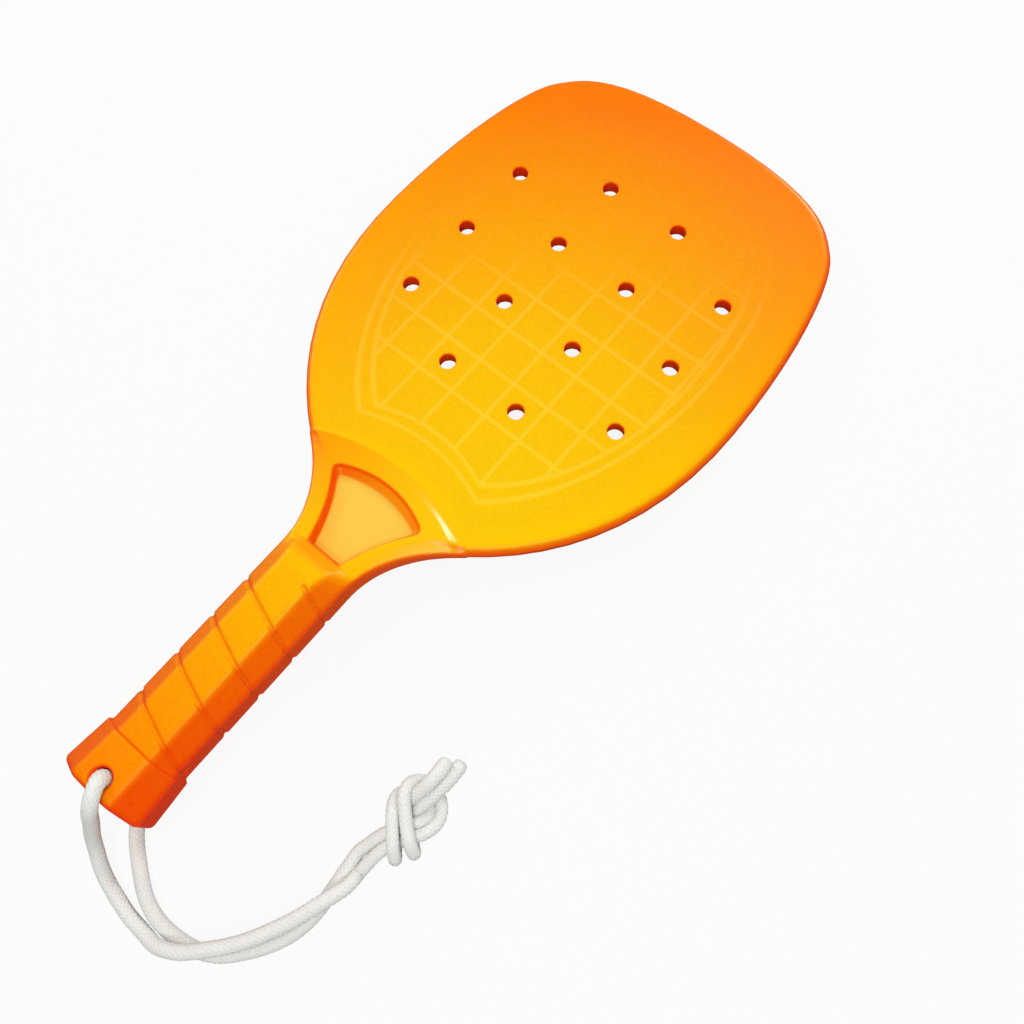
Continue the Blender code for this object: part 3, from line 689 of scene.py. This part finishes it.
def from_picture(*values):
    """The linear colour of red, green and blue picture values of 0 to 255, by the sRGB curve."""
    linear = []
    for value in values:
        share = value / 255
        if share <= SRGB_LINE_END:
            linear.append(share / SRGB_LINE_SLOPE)
        else:
            linear.append(((share + SRGB_OFFSET) / (1.0 + SRGB_OFFSET)) ** SRGB_POWER)
    return (*linear, 1.0)


# %% Write down the colours
# Painted light: a yellow pool of light low on the blade, and the colour deepens to orange away from it.
LIGHT_POOL_MIDDLE = (35.0, -30.0, 0.0)
LIGHT_POOL_REACH = 200.0
LIGHT_POOL_TONES = (
    (0.0, from_picture(247, 200, 4)),
    (0.35, from_picture(248, 189, 2)),
    (0.65, from_picture(248, 160, 1)),
    (1.0, from_picture(247, 119, 0)),
)
# Painted shade: what turns away from the light is painted this red.
PAINTED_SHADE_RED = (1.0, 0.18, 0.03, 1.0)
# Painted shade: the rim's upright wall is painted darker.
PAINTED_RIM_SHADE = (0.65, 0.55, 0.5, 1.0)
# Painted light: the thin web is painted pale, as light shining through it.
WEB_LIT_THROUGH_COLOUR = from_picture(249, 199, 74)
COLLAR_FROM_X = -40.0
COLLAR_TO_X = 25.0
# Painted shade: the collar is painted deeper at its left end.
COLLAR_SHADE_TINTS = (
    (0.0, (1.0, 0.64, 0.5, 1.0)),
    (0.6, (1.0, 0.88, 0.7, 1.0)),
    (1.0, (1.0, 1.0, 1.0, 1.0)),
)
# Painted sheen: the strings are painted slightly paler.
PAINTED_STRING_SHEEN = (0.0, 0.023, 0.018, 1.0)


# %% Measure places on the paddle
def own_place(tree):
    """The place in the paddle's own frame, in millimetres."""
    back_to_own = placing.inverted()
    return add_node(
        tree,
        "ShaderNodeMapping",
        {
            "Vector": tree.nodes.new("ShaderNodeTexCoord").outputs["Object"],
            "Location": back_to_own.translation / MM,
            "Rotation": back_to_own.to_euler(),
            "Scale": (1.0 / MM, 1.0 / MM, 1.0 / MM),
        },
        vector_type="POINT",
    ).outputs[0]


def fade(tree, value, low, high):
    """0 up to low, 1 from high on, and smooth between. It runs the other way if high is lower."""
    turned = low > high
    return add_node(
        tree,
        "ShaderNodeMapRange",
        {
            "Value": value,
            "From Min": min(low, high),
            "From Max": max(low, high),
            "To Min": 1.0 if turned else 0.0,
            "To Max": 0.0 if turned else 1.0,
        },
        interpolation_type="SMOOTHSTEP",
    ).outputs[0]


def along_axis(tree, vector, axis):
    """How much of a vector lies along this axis."""
    return add_node(
        tree, "ShaderNodeVectorMath", {0: vector, 1: tuple(axis)}, operation="DOT_PRODUCT"
    ).outputs["Value"]


# %% Tell what turns away from the light, for painted shade
LESS_LIGHT_TO_RIGHT = -0.12
MORE_LIGHT_TO_TIP = 0.2
FLAT_POWER = 4.0
WALL_LEVEL = 0.3


def painted_shade_levels(tree):
    """How much a place faces the light, 1 on the faces and 0 on what turns away, and 1 on upright walls; it
    sets the painted shade.
    """
    way = tree.nodes.new("ShaderNodeNewGeometry").outputs["Normal"]
    level = calculate(tree, "ABSOLUTE", along_axis(tree, way, normal))
    level = calculate(tree, "MULTIPLY_ADD", along_axis(tree, way, across), LESS_LIGHT_TO_RIGHT, level)
    level = calculate(tree, "MULTIPLY_ADD", along_axis(tree, way, along), MORE_LIGHT_TO_TIP, level)
    level = calculate(tree, "MINIMUM", calculate(tree, "MAXIMUM", level, 0.0), 1.0)
    return calculate(tree, "POWER", level, FLAT_POWER), fade(tree, level, WALL_LEVEL, 0.0)


# %% [markdown]
# ## The strings on the blade
#
# The mould's face is etched to a fine grain. A pattern of strings is left polished in it: straight
# lines on an even pitch, and a double line round them that follows the blade and bends in over the
# collar. A line shows as a smoother stripe with a painted sheen that makes it slightly paler, and
# the pattern gets fainter towards the tip. Each border line is an oval, fuller above its widest
# place than below it, with a circle cut out of its bottom.

# %% Draw the border
STRINGS = (("X", 18.5, 9.9), ("Y", 19.0, 9.5))
LOWEST_STRING_Y = -19.0
STRING_WIDTH = 1.8
LINE_SOFTNESS = 0.5
LOWER_FULLNESS = 2.0
UPPER_FULLNESS = 2.6
OUTER_BORDER = {"widest_y": 62.7, "half_width": 73.7, "below": 115.4, "above": 89.0, "bend": (-111.3, 77.3)}
INNER_BORDER = {"widest_y": 57.2, "half_width": 68.2, "below": 101.1, "above": 88.0, "bend": (-95.3, 66.9)}
FAINT_LEAN = 0.6
FAINT_FROM = 52.0
FAINT_TO = 84.0
FAINT_SHARE = 0.15


def oval_size(tree, across_share, along_share, fullness):
    """1 on an oval whose half width and half height are 1. It is a superellipse."""
    total = calculate(
        tree,
        "ADD",
        calculate(tree, "POWER", across_share, fullness),
        calculate(tree, "POWER", along_share, fullness),
    )
    return calculate(tree, "POWER", total, 1.0 / fullness)


def outside_panel(tree, place, widest_y, half_width, below, above, bend):
    """Millimetres outside one border line. It is negative inside."""
    bend_y, bend_radius = bend
    x = calculate(tree, "DIVIDE", calculate(tree, "ABSOLUTE", place["X"]), half_width)
    up = calculate(tree, "SUBTRACT", place["Y"], widest_y)
    down_share = calculate(tree, "MAXIMUM", calculate(tree, "DIVIDE", up, -below), 0.0)
    up_share = calculate(tree, "MAXIMUM", calculate(tree, "DIVIDE", up, above), 0.0)
    lower = oval_size(tree, x, down_share, LOWER_FULLNESS)
    upper = oval_size(tree, x, up_share, UPPER_FULLNESS)
    size = calculate(tree, "MAXIMUM", lower, upper)
    past_oval = calculate(tree, "MULTIPLY", calculate(tree, "SUBTRACT", size, 1.0), half_width)
    rise = calculate(tree, "SUBTRACT", place["Y"], bend_y)
    square = calculate(tree, "MULTIPLY", place["X"], place["X"])
    square = calculate(tree, "MULTIPLY_ADD", rise, rise, square)
    in_bend = calculate(tree, "SUBTRACT", bend_radius, calculate(tree, "SQRT", square))
    return calculate(tree, "MAXIMUM", past_oval, in_bend)


# %% Draw the strings
def line(tree, distance):
    """1 on a line at no distance, and 0 beside it."""
    edge = STRING_WIDTH / 2
    return fade(tree, calculate(tree, "ABSOLUTE", distance), edge + LINE_SOFTNESS, edge - LINE_SOFTNESS)


def strings(tree, place):
    """1 on the strings and the border lines, and how far outside the outer border a place is."""
    outer = outside_panel(tree, place, **OUTER_BORDER)
    inner = outside_panel(tree, place, **INNER_BORDER)
    drawn = calculate(tree, "MAXIMUM", line(tree, outer), line(tree, inner))
    inside = fade(tree, inner, LINE_SOFTNESS, -LINE_SOFTNESS)
    above_bend = fade(tree, place["Y"], LOWEST_STRING_Y - LINE_SOFTNESS, LOWEST_STRING_Y + LINE_SOFTNESS)
    for axis, pitch, first in STRINGS:
        from_first = calculate(tree, "SUBTRACT", place[axis], first)
        from_string = calculate(tree, "PINGPONG", from_first, pitch / 2)
        string = calculate(tree, "MULTIPLY", line(tree, from_string), inside)
        if axis == "Y":
            string = calculate(tree, "MULTIPLY", string, above_bend)
        drawn = calculate(tree, "MAXIMUM", drawn, string)
    leaning = calculate(tree, "MULTIPLY_ADD", place["X"], -FAINT_LEAN, place["Y"])
    string_strength = fade(tree, leaning, FAINT_TO, FAINT_FROM)
    string_strength = calculate(tree, "MULTIPLY_ADD", string_strength, 1.0 - FAINT_SHARE, FAINT_SHARE)
    return calculate(tree, "MULTIPLY", drawn, string_strength), outer


# %% [markdown]
# ## The plastic's finish
#
# The blade's grain fades into a smooth border near the rim, and the collar is smooth. The handle
# has a faint leather grain, stretched across it. Grain is bump at its real size of about half a
# millimetre. Under it the reflection takes the plastic's own colour, and the moulded skin over it
# gives small white highlights, most of all on the polished collar. There the skin rounds off the
# step in a wide shoulder, which catches a lamp near the collar's right end.

# %% Find the collar
COLLAR_ARC_Y = -49.4
COLLAR_ARC_DROP = 9.9 / 41.5**2
COLLAR_EDGE = (-0.3, 0.5)
BAND_RUN_OUT_Y = (-100.0, -66.0)


def collar_places(tree, place):
    """Millimetres past the collar's arc, 1 on the collar, 1 on its band, and the way to the right."""
    square = calculate(tree, "MULTIPLY", place["X"], place["X"])
    arc = calculate(tree, "MULTIPLY_ADD", square, -COLLAR_ARC_DROP, COLLAR_ARC_Y)
    past_arc = calculate(tree, "SUBTRACT", arc, place["Y"])
    collar = fade(tree, past_arc, *COLLAR_EDGE)
    band = calculate(tree, "MULTIPLY", collar, fade(tree, place["Y"], *BAND_RUN_OUT_Y))
    to_right = add_node(
        tree,
        "ShaderNodeMapRange",
        {"Value": place["X"], "From Min": COLLAR_FROM_X, "From Max": COLLAR_TO_X},
    )
    return past_arc, collar, band, to_right.outputs[0]


# %% Colour the smooth plastic
WEB_LEVEL = (1.6, 1.1)
WEB_TOP_Y = (-58.0, -61.0)
RIM_OUTSIDE = (3.0, 8.0)
RIM_END_Y = (-70.0, -40.0)


def smooth_colour(tree, own, place, drawn, outside, band, to_right):
    """The plastic's colour without its grain, with its painted light and painted shade."""
    # Painted light: the pool of light, by the distance from its middle.
    far = add_node(tree, "ShaderNodeVectorMath", {0: own, 1: LIGHT_POOL_MIDDLE}, operation="DISTANCE")
    far = calculate(tree, "DIVIDE", far.outputs["Value"], LIGHT_POOL_REACH)
    colour = colour_ramp(tree, far, LIGHT_POOL_TONES)
    # Painted shade: the collar is painted deeper towards its left end.
    tint = colour_ramp(tree, to_right, COLLAR_SHADE_TINTS)
    colour = blend_colours(tree, band, colour, tint, "MULTIPLY")

    flat, wall = painted_shade_levels(tree)
    # Painted light: the thin web is painted pale, as light shining through it.
    web = fade(tree, calculate(tree, "ABSOLUTE", place["Z"]), *WEB_LEVEL)
    web = calculate(tree, "MULTIPLY", web, fade(tree, place["Y"], *WEB_TOP_Y))
    colour = blend_colours(tree, calculate(tree, "MULTIPLY", web, flat), colour, WEB_LIT_THROUGH_COLOUR)
    # Painted sheen: the strings are painted slightly paler.
    colour = blend_colours(tree, calculate(tree, "MULTIPLY", drawn, flat), colour, PAINTED_STRING_SHEEN, "ADD")
    # Painted shade: what turns away from the light is painted red.
    painted_shade = calculate(tree, "SUBTRACT", 1.0, flat)
    colour = blend_colours(tree, painted_shade, colour, PAINTED_SHADE_RED, "MULTIPLY")
    # Painted shade: the rim's upright wall is painted darker.
    rim = calculate(tree, "MULTIPLY", fade(tree, outside, *RIM_OUTSIDE), fade(tree, place["Y"], *RIM_END_Y))
    return blend_colours(tree, calculate(tree, "MULTIPLY", wall, rim), colour, PAINTED_RIM_SHADE, "MULTIPLY")


# %% Grain the plastic
GRAIN_SCALE = 1.3
GRAIN_DETAIL = 2.0
LEATHER_STRETCH = (0.35, 1.5, 0.5)
LEATHER_TURN = math.radians(35)
PLAIN = (1.0, 1.0, 1.0, 1.0)
SPECKLES = ((0.3, (0.93, 0.88, 0.8, 1.0)), (0.7, PLAIN))
CREASES = ((0.3, (0.94, 0.86, 0.8, 1.0)), (0.5, PLAIN))


def grained(tree, vector, scale, share, tones, colour):
    """The grain's height where share is 1, and the colour with these tones in the grain."""
    noise = add_node(tree, "ShaderNodeTexNoise", {"Vector": vector, "Scale": scale, "Detail": GRAIN_DETAIL})
    toned = colour_ramp(tree, noise.outputs["Fac"], tones)
    colour = blend_colours(tree, share, colour, toned, "MULTIPLY")
    return calculate(tree, "MULTIPLY", noise.outputs["Fac"], share), colour


# %% Make the plastic
SMOOTH_BORDER = (15.0, 5.0)
HANDLE_TOP_Y = (-98.0, -112.0)
GRAIN_HEIGHT = 0.15 * MM
GRAIN_STRENGTH = 0.8
SMOOTH_ROUGHNESS = 0.36
GRAINED_ROUGHNESS = 0.5
SHOULDER_WIDTH = 6.0
SHOULDER_HEIGHT = 2.2 * MM
SHOULDER_END_X = (41.0, 37.0)
SKIN_SHINE = 0.06
COLLAR_POLISH = 0.3
PLASTIC_FINISH = {
    "Specular IOR Level": 0.3,
    "Specular Tint": (1.0, 0.72, 0.04, 1.0),
    "Coat Roughness": 0.2,
}


def plastic_material():
    """Orange plastic with strings in a grained face, and a pale web."""
    made, tree, shader = new_material("orange_plastic", PLASTIC_FINISH)
    own = own_place(tree)
    place = add_node(tree, "ShaderNodeSeparateXYZ", {0: own}).outputs
    drawn, outside = strings(tree, place)
    past_arc, collar, band, to_right = collar_places(tree, place)
    colour = smooth_colour(tree, own, place, drawn, outside, band, to_right)

    off_collar = calculate(tree, "SUBTRACT", 1.0, collar)
    on_face = calculate(tree, "MULTIPLY", fade(tree, outside, *SMOOTH_BORDER), off_collar)
    rough_share = calculate(tree, "MULTIPLY", on_face, calculate(tree, "SUBTRACT", 1.0, drawn))
    grain, colour = grained(tree, own, GRAIN_SCALE, rough_share, SPECKLES, colour)
    stretched = add_node(
        tree,
        "ShaderNodeMapping",
        {"Vector": own, "Rotation": (0.0, 0.0, LEATHER_TURN), "Scale": LEATHER_STRETCH},
    ).outputs[0]
    on_handle = fade(tree, place["Y"], *HANDLE_TOP_Y)
    leather, colour = grained(tree, stretched, 1.0, on_handle, CREASES, colour)
    height = calculate(tree, "ADD", grain, leather)
    bump = add_node(
        tree, "ShaderNodeBump", {"Height": height, "Strength": GRAIN_STRENGTH, "Distance": GRAIN_HEIGHT}
    )
    rough = add_node(
        tree,
        "ShaderNodeMapRange",
        {"Value": rough_share, "To Min": SMOOTH_ROUGHNESS, "To Max": GRAINED_ROUGHNESS},
    )
    shoulder = add_node(
        tree,
        "ShaderNodeBump",
        {
            "Height": fade(tree, past_arc, 0.0, SHOULDER_WIDTH),
            "Strength": fade(tree, calculate(tree, "ABSOLUTE", place["X"]), *SHOULDER_END_X),
            "Distance": SHOULDER_HEIGHT,
        },
    )
    polished = calculate(tree, "MULTIPLY", band, to_right)
    shine = calculate(tree, "MULTIPLY_ADD", polished, COLLAR_POLISH, SKIN_SHINE)

    tree.links.new(colour, shader.inputs["Base Color"])
    tree.links.new(bump.outputs["Normal"], shader.inputs["Normal"])
    tree.links.new(rough.outputs[0], shader.inputs["Roughness"])
    tree.links.new(shine, shader.inputs["Coat Weight"])
    tree.links.new(shoulder.outputs["Normal"], shader.inputs["Coat Normal"])
    return made


orange_plastic = plastic_material()
print("Plastic has", len(orange_plastic.node_tree.nodes), "nodes")

# %% [markdown]
# ## The air holes
#
# Fourteen air holes go through the blade. In the mould each is made by a steel pin that is a little
# thicker at its lower end, so that the moulding comes off it: the hole is 6.9 mm across on the upper
# face and 8 mm on the lower one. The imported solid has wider, straight holes, so each of them gets
# a lining: a short cylinder with the tapered pin cut out of it. Two small grids of points say where
# the linings go, one for the two inner columns and one for the two outer ones. A tree of geometry
# nodes makes one lining, sets it on every point and joins them to the moulding. The pin is twice as
# long as the blade is thick, so that it cuts cleanly, and its ends carry the taper on past the mouths.

# %% Make a lining
HOLE_TOP = 6.9 * MM
HOLE_BOTTOM = 8.0 * MM
LINING_DIAMETER = 11.0 * MM
BLADE_THICKNESS = 7.2 * MM
HOLE_SIDES = 48
NEAR_SHARE = 0.75
FAR_SHARE = 0.25


def moved_along(tree, geometry, axis, distance):
    """The geometry moved along one axis."""
    way = add_node(tree, "ShaderNodeCombineXYZ", {axis: distance}).outputs[0]
    return add_node(tree, "GeometryNodeTransform", {"Geometry": geometry, "Translation": way}).outputs[0]


def pin_end(tree, near, far):
    """Radius of the pin's end, from the diameters of the mouth near it and of the far one."""
    near = calculate(tree, "MULTIPLY", near, NEAR_SHARE)
    return calculate(tree, "SUBTRACT", near, calculate(tree, "MULTIPLY", far, FAR_SHARE))


def tapered_lining(tree, given):
    """A short cylinder with the tapered pin cut out of it."""
    blank = add_node(
        tree,
        "GeometryNodeMeshCylinder",
        {
            "Vertices": given["Sides"],
            "Radius": calculate(tree, "MULTIPLY", given["Lining diameter"], 0.5),
            "Depth": given["Thickness"],
        },
    )
    pin = add_node(
        tree,
        "GeometryNodeMeshCone",
        {
            "Vertices": given["Sides"],
            "Radius Top": pin_end(tree, given["Top diameter"], given["Bottom diameter"]),
            "Radius Bottom": pin_end(tree, given["Bottom diameter"], given["Top diameter"]),
            "Depth": calculate(tree, "MULTIPLY", given["Thickness"], 2.0),
        },
    )
    down = calculate(tree, "MULTIPLY", given["Thickness"], -1.0)
    return add_node(
        tree,
        "GeometryNodeMeshBoolean",
        {"Mesh 1": blank.outputs["Mesh"], "Mesh 2": moved_along(tree, pin.outputs["Mesh"], "Z", down)},
        operation="DIFFERENCE",
    ).outputs["Mesh"]


# %% Build the tree of the air holes
HOLE_PITCH = 38.0 * MM
HOLE_GRIDS = ((1, 4), (3, 3))
MIDDLE_ROW = 1.5
HOLE_INPUTS = (
    ("Moulding", "Geometry"),
    ("Pitch", "Float"),
    ("Top diameter", "Float"),
    ("Bottom diameter", "Float"),
    ("Lining diameter", "Float"),
    ("Thickness", "Float"),
    ("Sides", "Int"),
    ("Material", "Material"),
)


def hole_tree():
    """Geometry nodes that join a tapered lining to the moulding at each air hole."""
    tree, given = new_tree("air_holes", HOLE_INPUTS, "Holed moulding")
    lining = tapered_lining(tree, given)
    places = tree.nodes.new("GeometryNodeJoinGeometry")
    for pitches_apart, rows in HOLE_GRIDS:
        grid = add_node(
            tree,
            "GeometryNodeMeshGrid",
            {
                "Size X": calculate(tree, "MULTIPLY", given["Pitch"], pitches_apart),
                "Size Y": calculate(tree, "MULTIPLY", given["Pitch"], rows - 1),
                "Vertices X": 2,
                "Vertices Y": rows,
            },
        )
        tree.links.new(grid.outputs["Mesh"], places.inputs[0])
    up = calculate(tree, "MULTIPLY", given["Pitch"], MIDDLE_ROW)
    linings = add_node(
        tree,
        "GeometryNodeInstanceOnPoints",
        {"Points": moved_along(tree, places.outputs[0], "Y", up), "Instance": lining},
    )
    joined = tree.nodes.new("GeometryNodeJoinGeometry")
    tree.links.new(linings.outputs[0], joined.inputs[0])
    tree.links.new(given["Moulding"], joined.inputs[0])
    end_tree(tree, joined.outputs[0], given["Material"])
    return tree


air_holes = hole_tree()
print("Hole tree has", len(air_holes.nodes), "nodes")

# %% [markdown]
# ## The moulding
#
# A Boolean solid has knife edges, and a moulding has none: the steel mould is polished, and the
# plastic flows round its corners. A voxel remesh of the imported solid gives an even skin, and two
# rounds of smoothing melt its edges by half a millimetre, as the mould does.

# %% Soften the moulding
VOXEL = 0.55 * MM
SMOOTH_ROUNDS = 2
MOST_TRIANGLES = 190000
MERGE_DISTANCE = 0.001 * MM


def own_copy(node, name):
    """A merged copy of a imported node's mesh."""
    mesh = frame["nodes"][node].data.copy()
    form = bmesh.new()
    form.from_mesh(mesh)
    bmesh.ops.remove_doubles(form, verts=form.verts, dist=MERGE_DISTANCE)
    form.to_mesh(mesh)
    form.free()
    return new_object(name, mesh)


paddle = own_copy("paddle", "moulding_solid")
paddle.data.transform(placing.inverted())
sizes = {
    "Pitch": HOLE_PITCH,
    "Top diameter": HOLE_TOP,
    "Bottom diameter": HOLE_BOTTOM,
    "Lining diameter": LINING_DIAMETER,
    "Thickness": BLADE_THICKNESS,
    "Sides": HOLE_SIDES,
    "Material": orange_plastic,
}
put_tree_on(paddle, air_holes, sizes)
remesh = paddle.modifiers.new("skin", "REMESH")
remesh.mode = "VOXEL"
remesh.voxel_size = VOXEL
soften = paddle.modifiers.new("soften", "SMOOTH")
soften.iterations = SMOOTH_ROUNDS
paddle = plain_mesh(paddle, "moulding_skin")
print("Skin triangles", triangles(paddle))
thin = paddle.modifiers.new("thin", "DECIMATE")
thin.ratio = min(1.0, MOST_TRIANGLES / triangles(paddle))
paddle = plain_mesh(paddle, "moulding")
paddle.data.transform(placing)
paddle.data.shade_smooth()
print("Moulding triangles", triangles(paddle))
paddle.data.materials.clear()
paddle.data.materials.append(orange_plastic)
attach(paddle, "root")
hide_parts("paddle")

# %% [markdown]
# ## Floor and light
#
# The photograph's background is white paper that shows almost no shadow, and the holes look white
# too. The floor is matt for the light that falls on it. What the camera sees of it is mostly plain
# white, with a share of the real surface, which keeps a faint shadow. A reflection sees it dark, as
# behind a polarising filter, so that it doesn't wash out the plastic's colour.

# %% Make the floor
FLOOR_SIZE = 3.0
PAPER_COLOUR = (0.74, 0.74, 0.74, 1.0)
PAPER_IN_REFLECTIONS = (0.05, 0.05, 0.05, 1.0)
PAPER_ROUGHNESS = 0.9
WHITE_SHARE = 0.9


def paper_material():
    """Matt paper that the camera sees nearly white."""
    made, tree, surface = new_material("paper", {"Roughness": PAPER_ROUGHNESS})
    seen = tree.nodes.new("ShaderNodeLightPath").outputs
    colour = blend_colours(tree, seen["Is Glossy Ray"], PAPER_COLOUR, PAPER_IN_REFLECTIONS)
    tree.links.new(colour, surface.inputs["Base Color"])
    white = add_node(tree, "ShaderNodeEmission", {"Color": (1.0, 1.0, 1.0, 1.0), "Strength": 1.0})
    share = calculate(tree, "MULTIPLY", seen["Is Camera Ray"], WHITE_SHARE)
    mixed = add_node(
        tree, "ShaderNodeMixShader", {0: share, 1: surface.outputs["BSDF"], 2: white.outputs["Emission"]}
    )
    tree.links.new(mixed.outputs[0], tree.nodes["Material Output"].inputs["Surface"])
    return made


half = FLOOR_SIZE / 2
corners = [(-half, -half, 0), (half, -half, 0), (half, half, 0), (-half, half, 0)]
floor_mesh = bpy.data.meshes.new("floor")
floor_mesh.from_pydata(corners, [], [(0, 1, 2, 3)])
floor_mesh.materials.append(paper_material())
floor = new_object("floor", floor_mesh)
print("Floor corners", corners)

# %% [markdown]
# A white room gives most of the light. The camera sees it plain white, and reflections see it
# dark, like the floor. A soft lamp from the far left makes the right-hand chamfers darker, one near
# the camera and one overhead fill in, and a small one beyond the tip puts the streak on the collar's
# shoulder. Together they light a flat face so that its colour renders about as written.

# %% Set the light
ROOM_LIGHT = 0.46
ROOM_IN_REFLECTIONS = 0.05
LAMPS = (
    ("far_left", Vector((-1.05, 0.15, 0.55)), 0.6, 3.9),
    ("near_camera", Vector((0.42, -0.55, 1.0)), 0.35, 3.3),
    ("overhead", Vector((0.12, -0.08, 0.97)), 0.35, 2.1),
    ("far_end", Vector((0.0, 0.95, 0.36)), 0.15, 3.2),
)

world = bpy.data.worlds.new("studio")
world.use_nodes = True
room = world.node_tree
background = room.nodes["Background"]
background.inputs["Color"].default_value = (1.0, 1.0, 1.0, 1.0)
seen = room.nodes.new("ShaderNodeLightPath").outputs
darker = ROOM_IN_REFLECTIONS - ROOM_LIGHT
level = calculate(room, "MULTIPLY_ADD", seen["Is Glossy Ray"], darker, ROOM_LIGHT)
level = calculate(room, "MULTIPLY_ADD", seen["Is Camera Ray"], 1.0 - ROOM_LIGHT, level)
room.links.new(level, background.inputs["Strength"])
bpy.context.scene.world = world
for name, place, size, watts in LAMPS:
    lamp = new_object(name, bpy.data.lights.new(name, "AREA"))
    lamp.data.shape = "DISK"
    lamp.data.size = size
    lamp.data.energy = watts
    lamp.matrix_world = Matrix.Translation(place) @ place.to_track_quat("Z", "Y").to_matrix().to_4x4()
    print("Lamp", name, watts, "watts")
bpy.context.scene.view_settings.view_transform = "Standard"
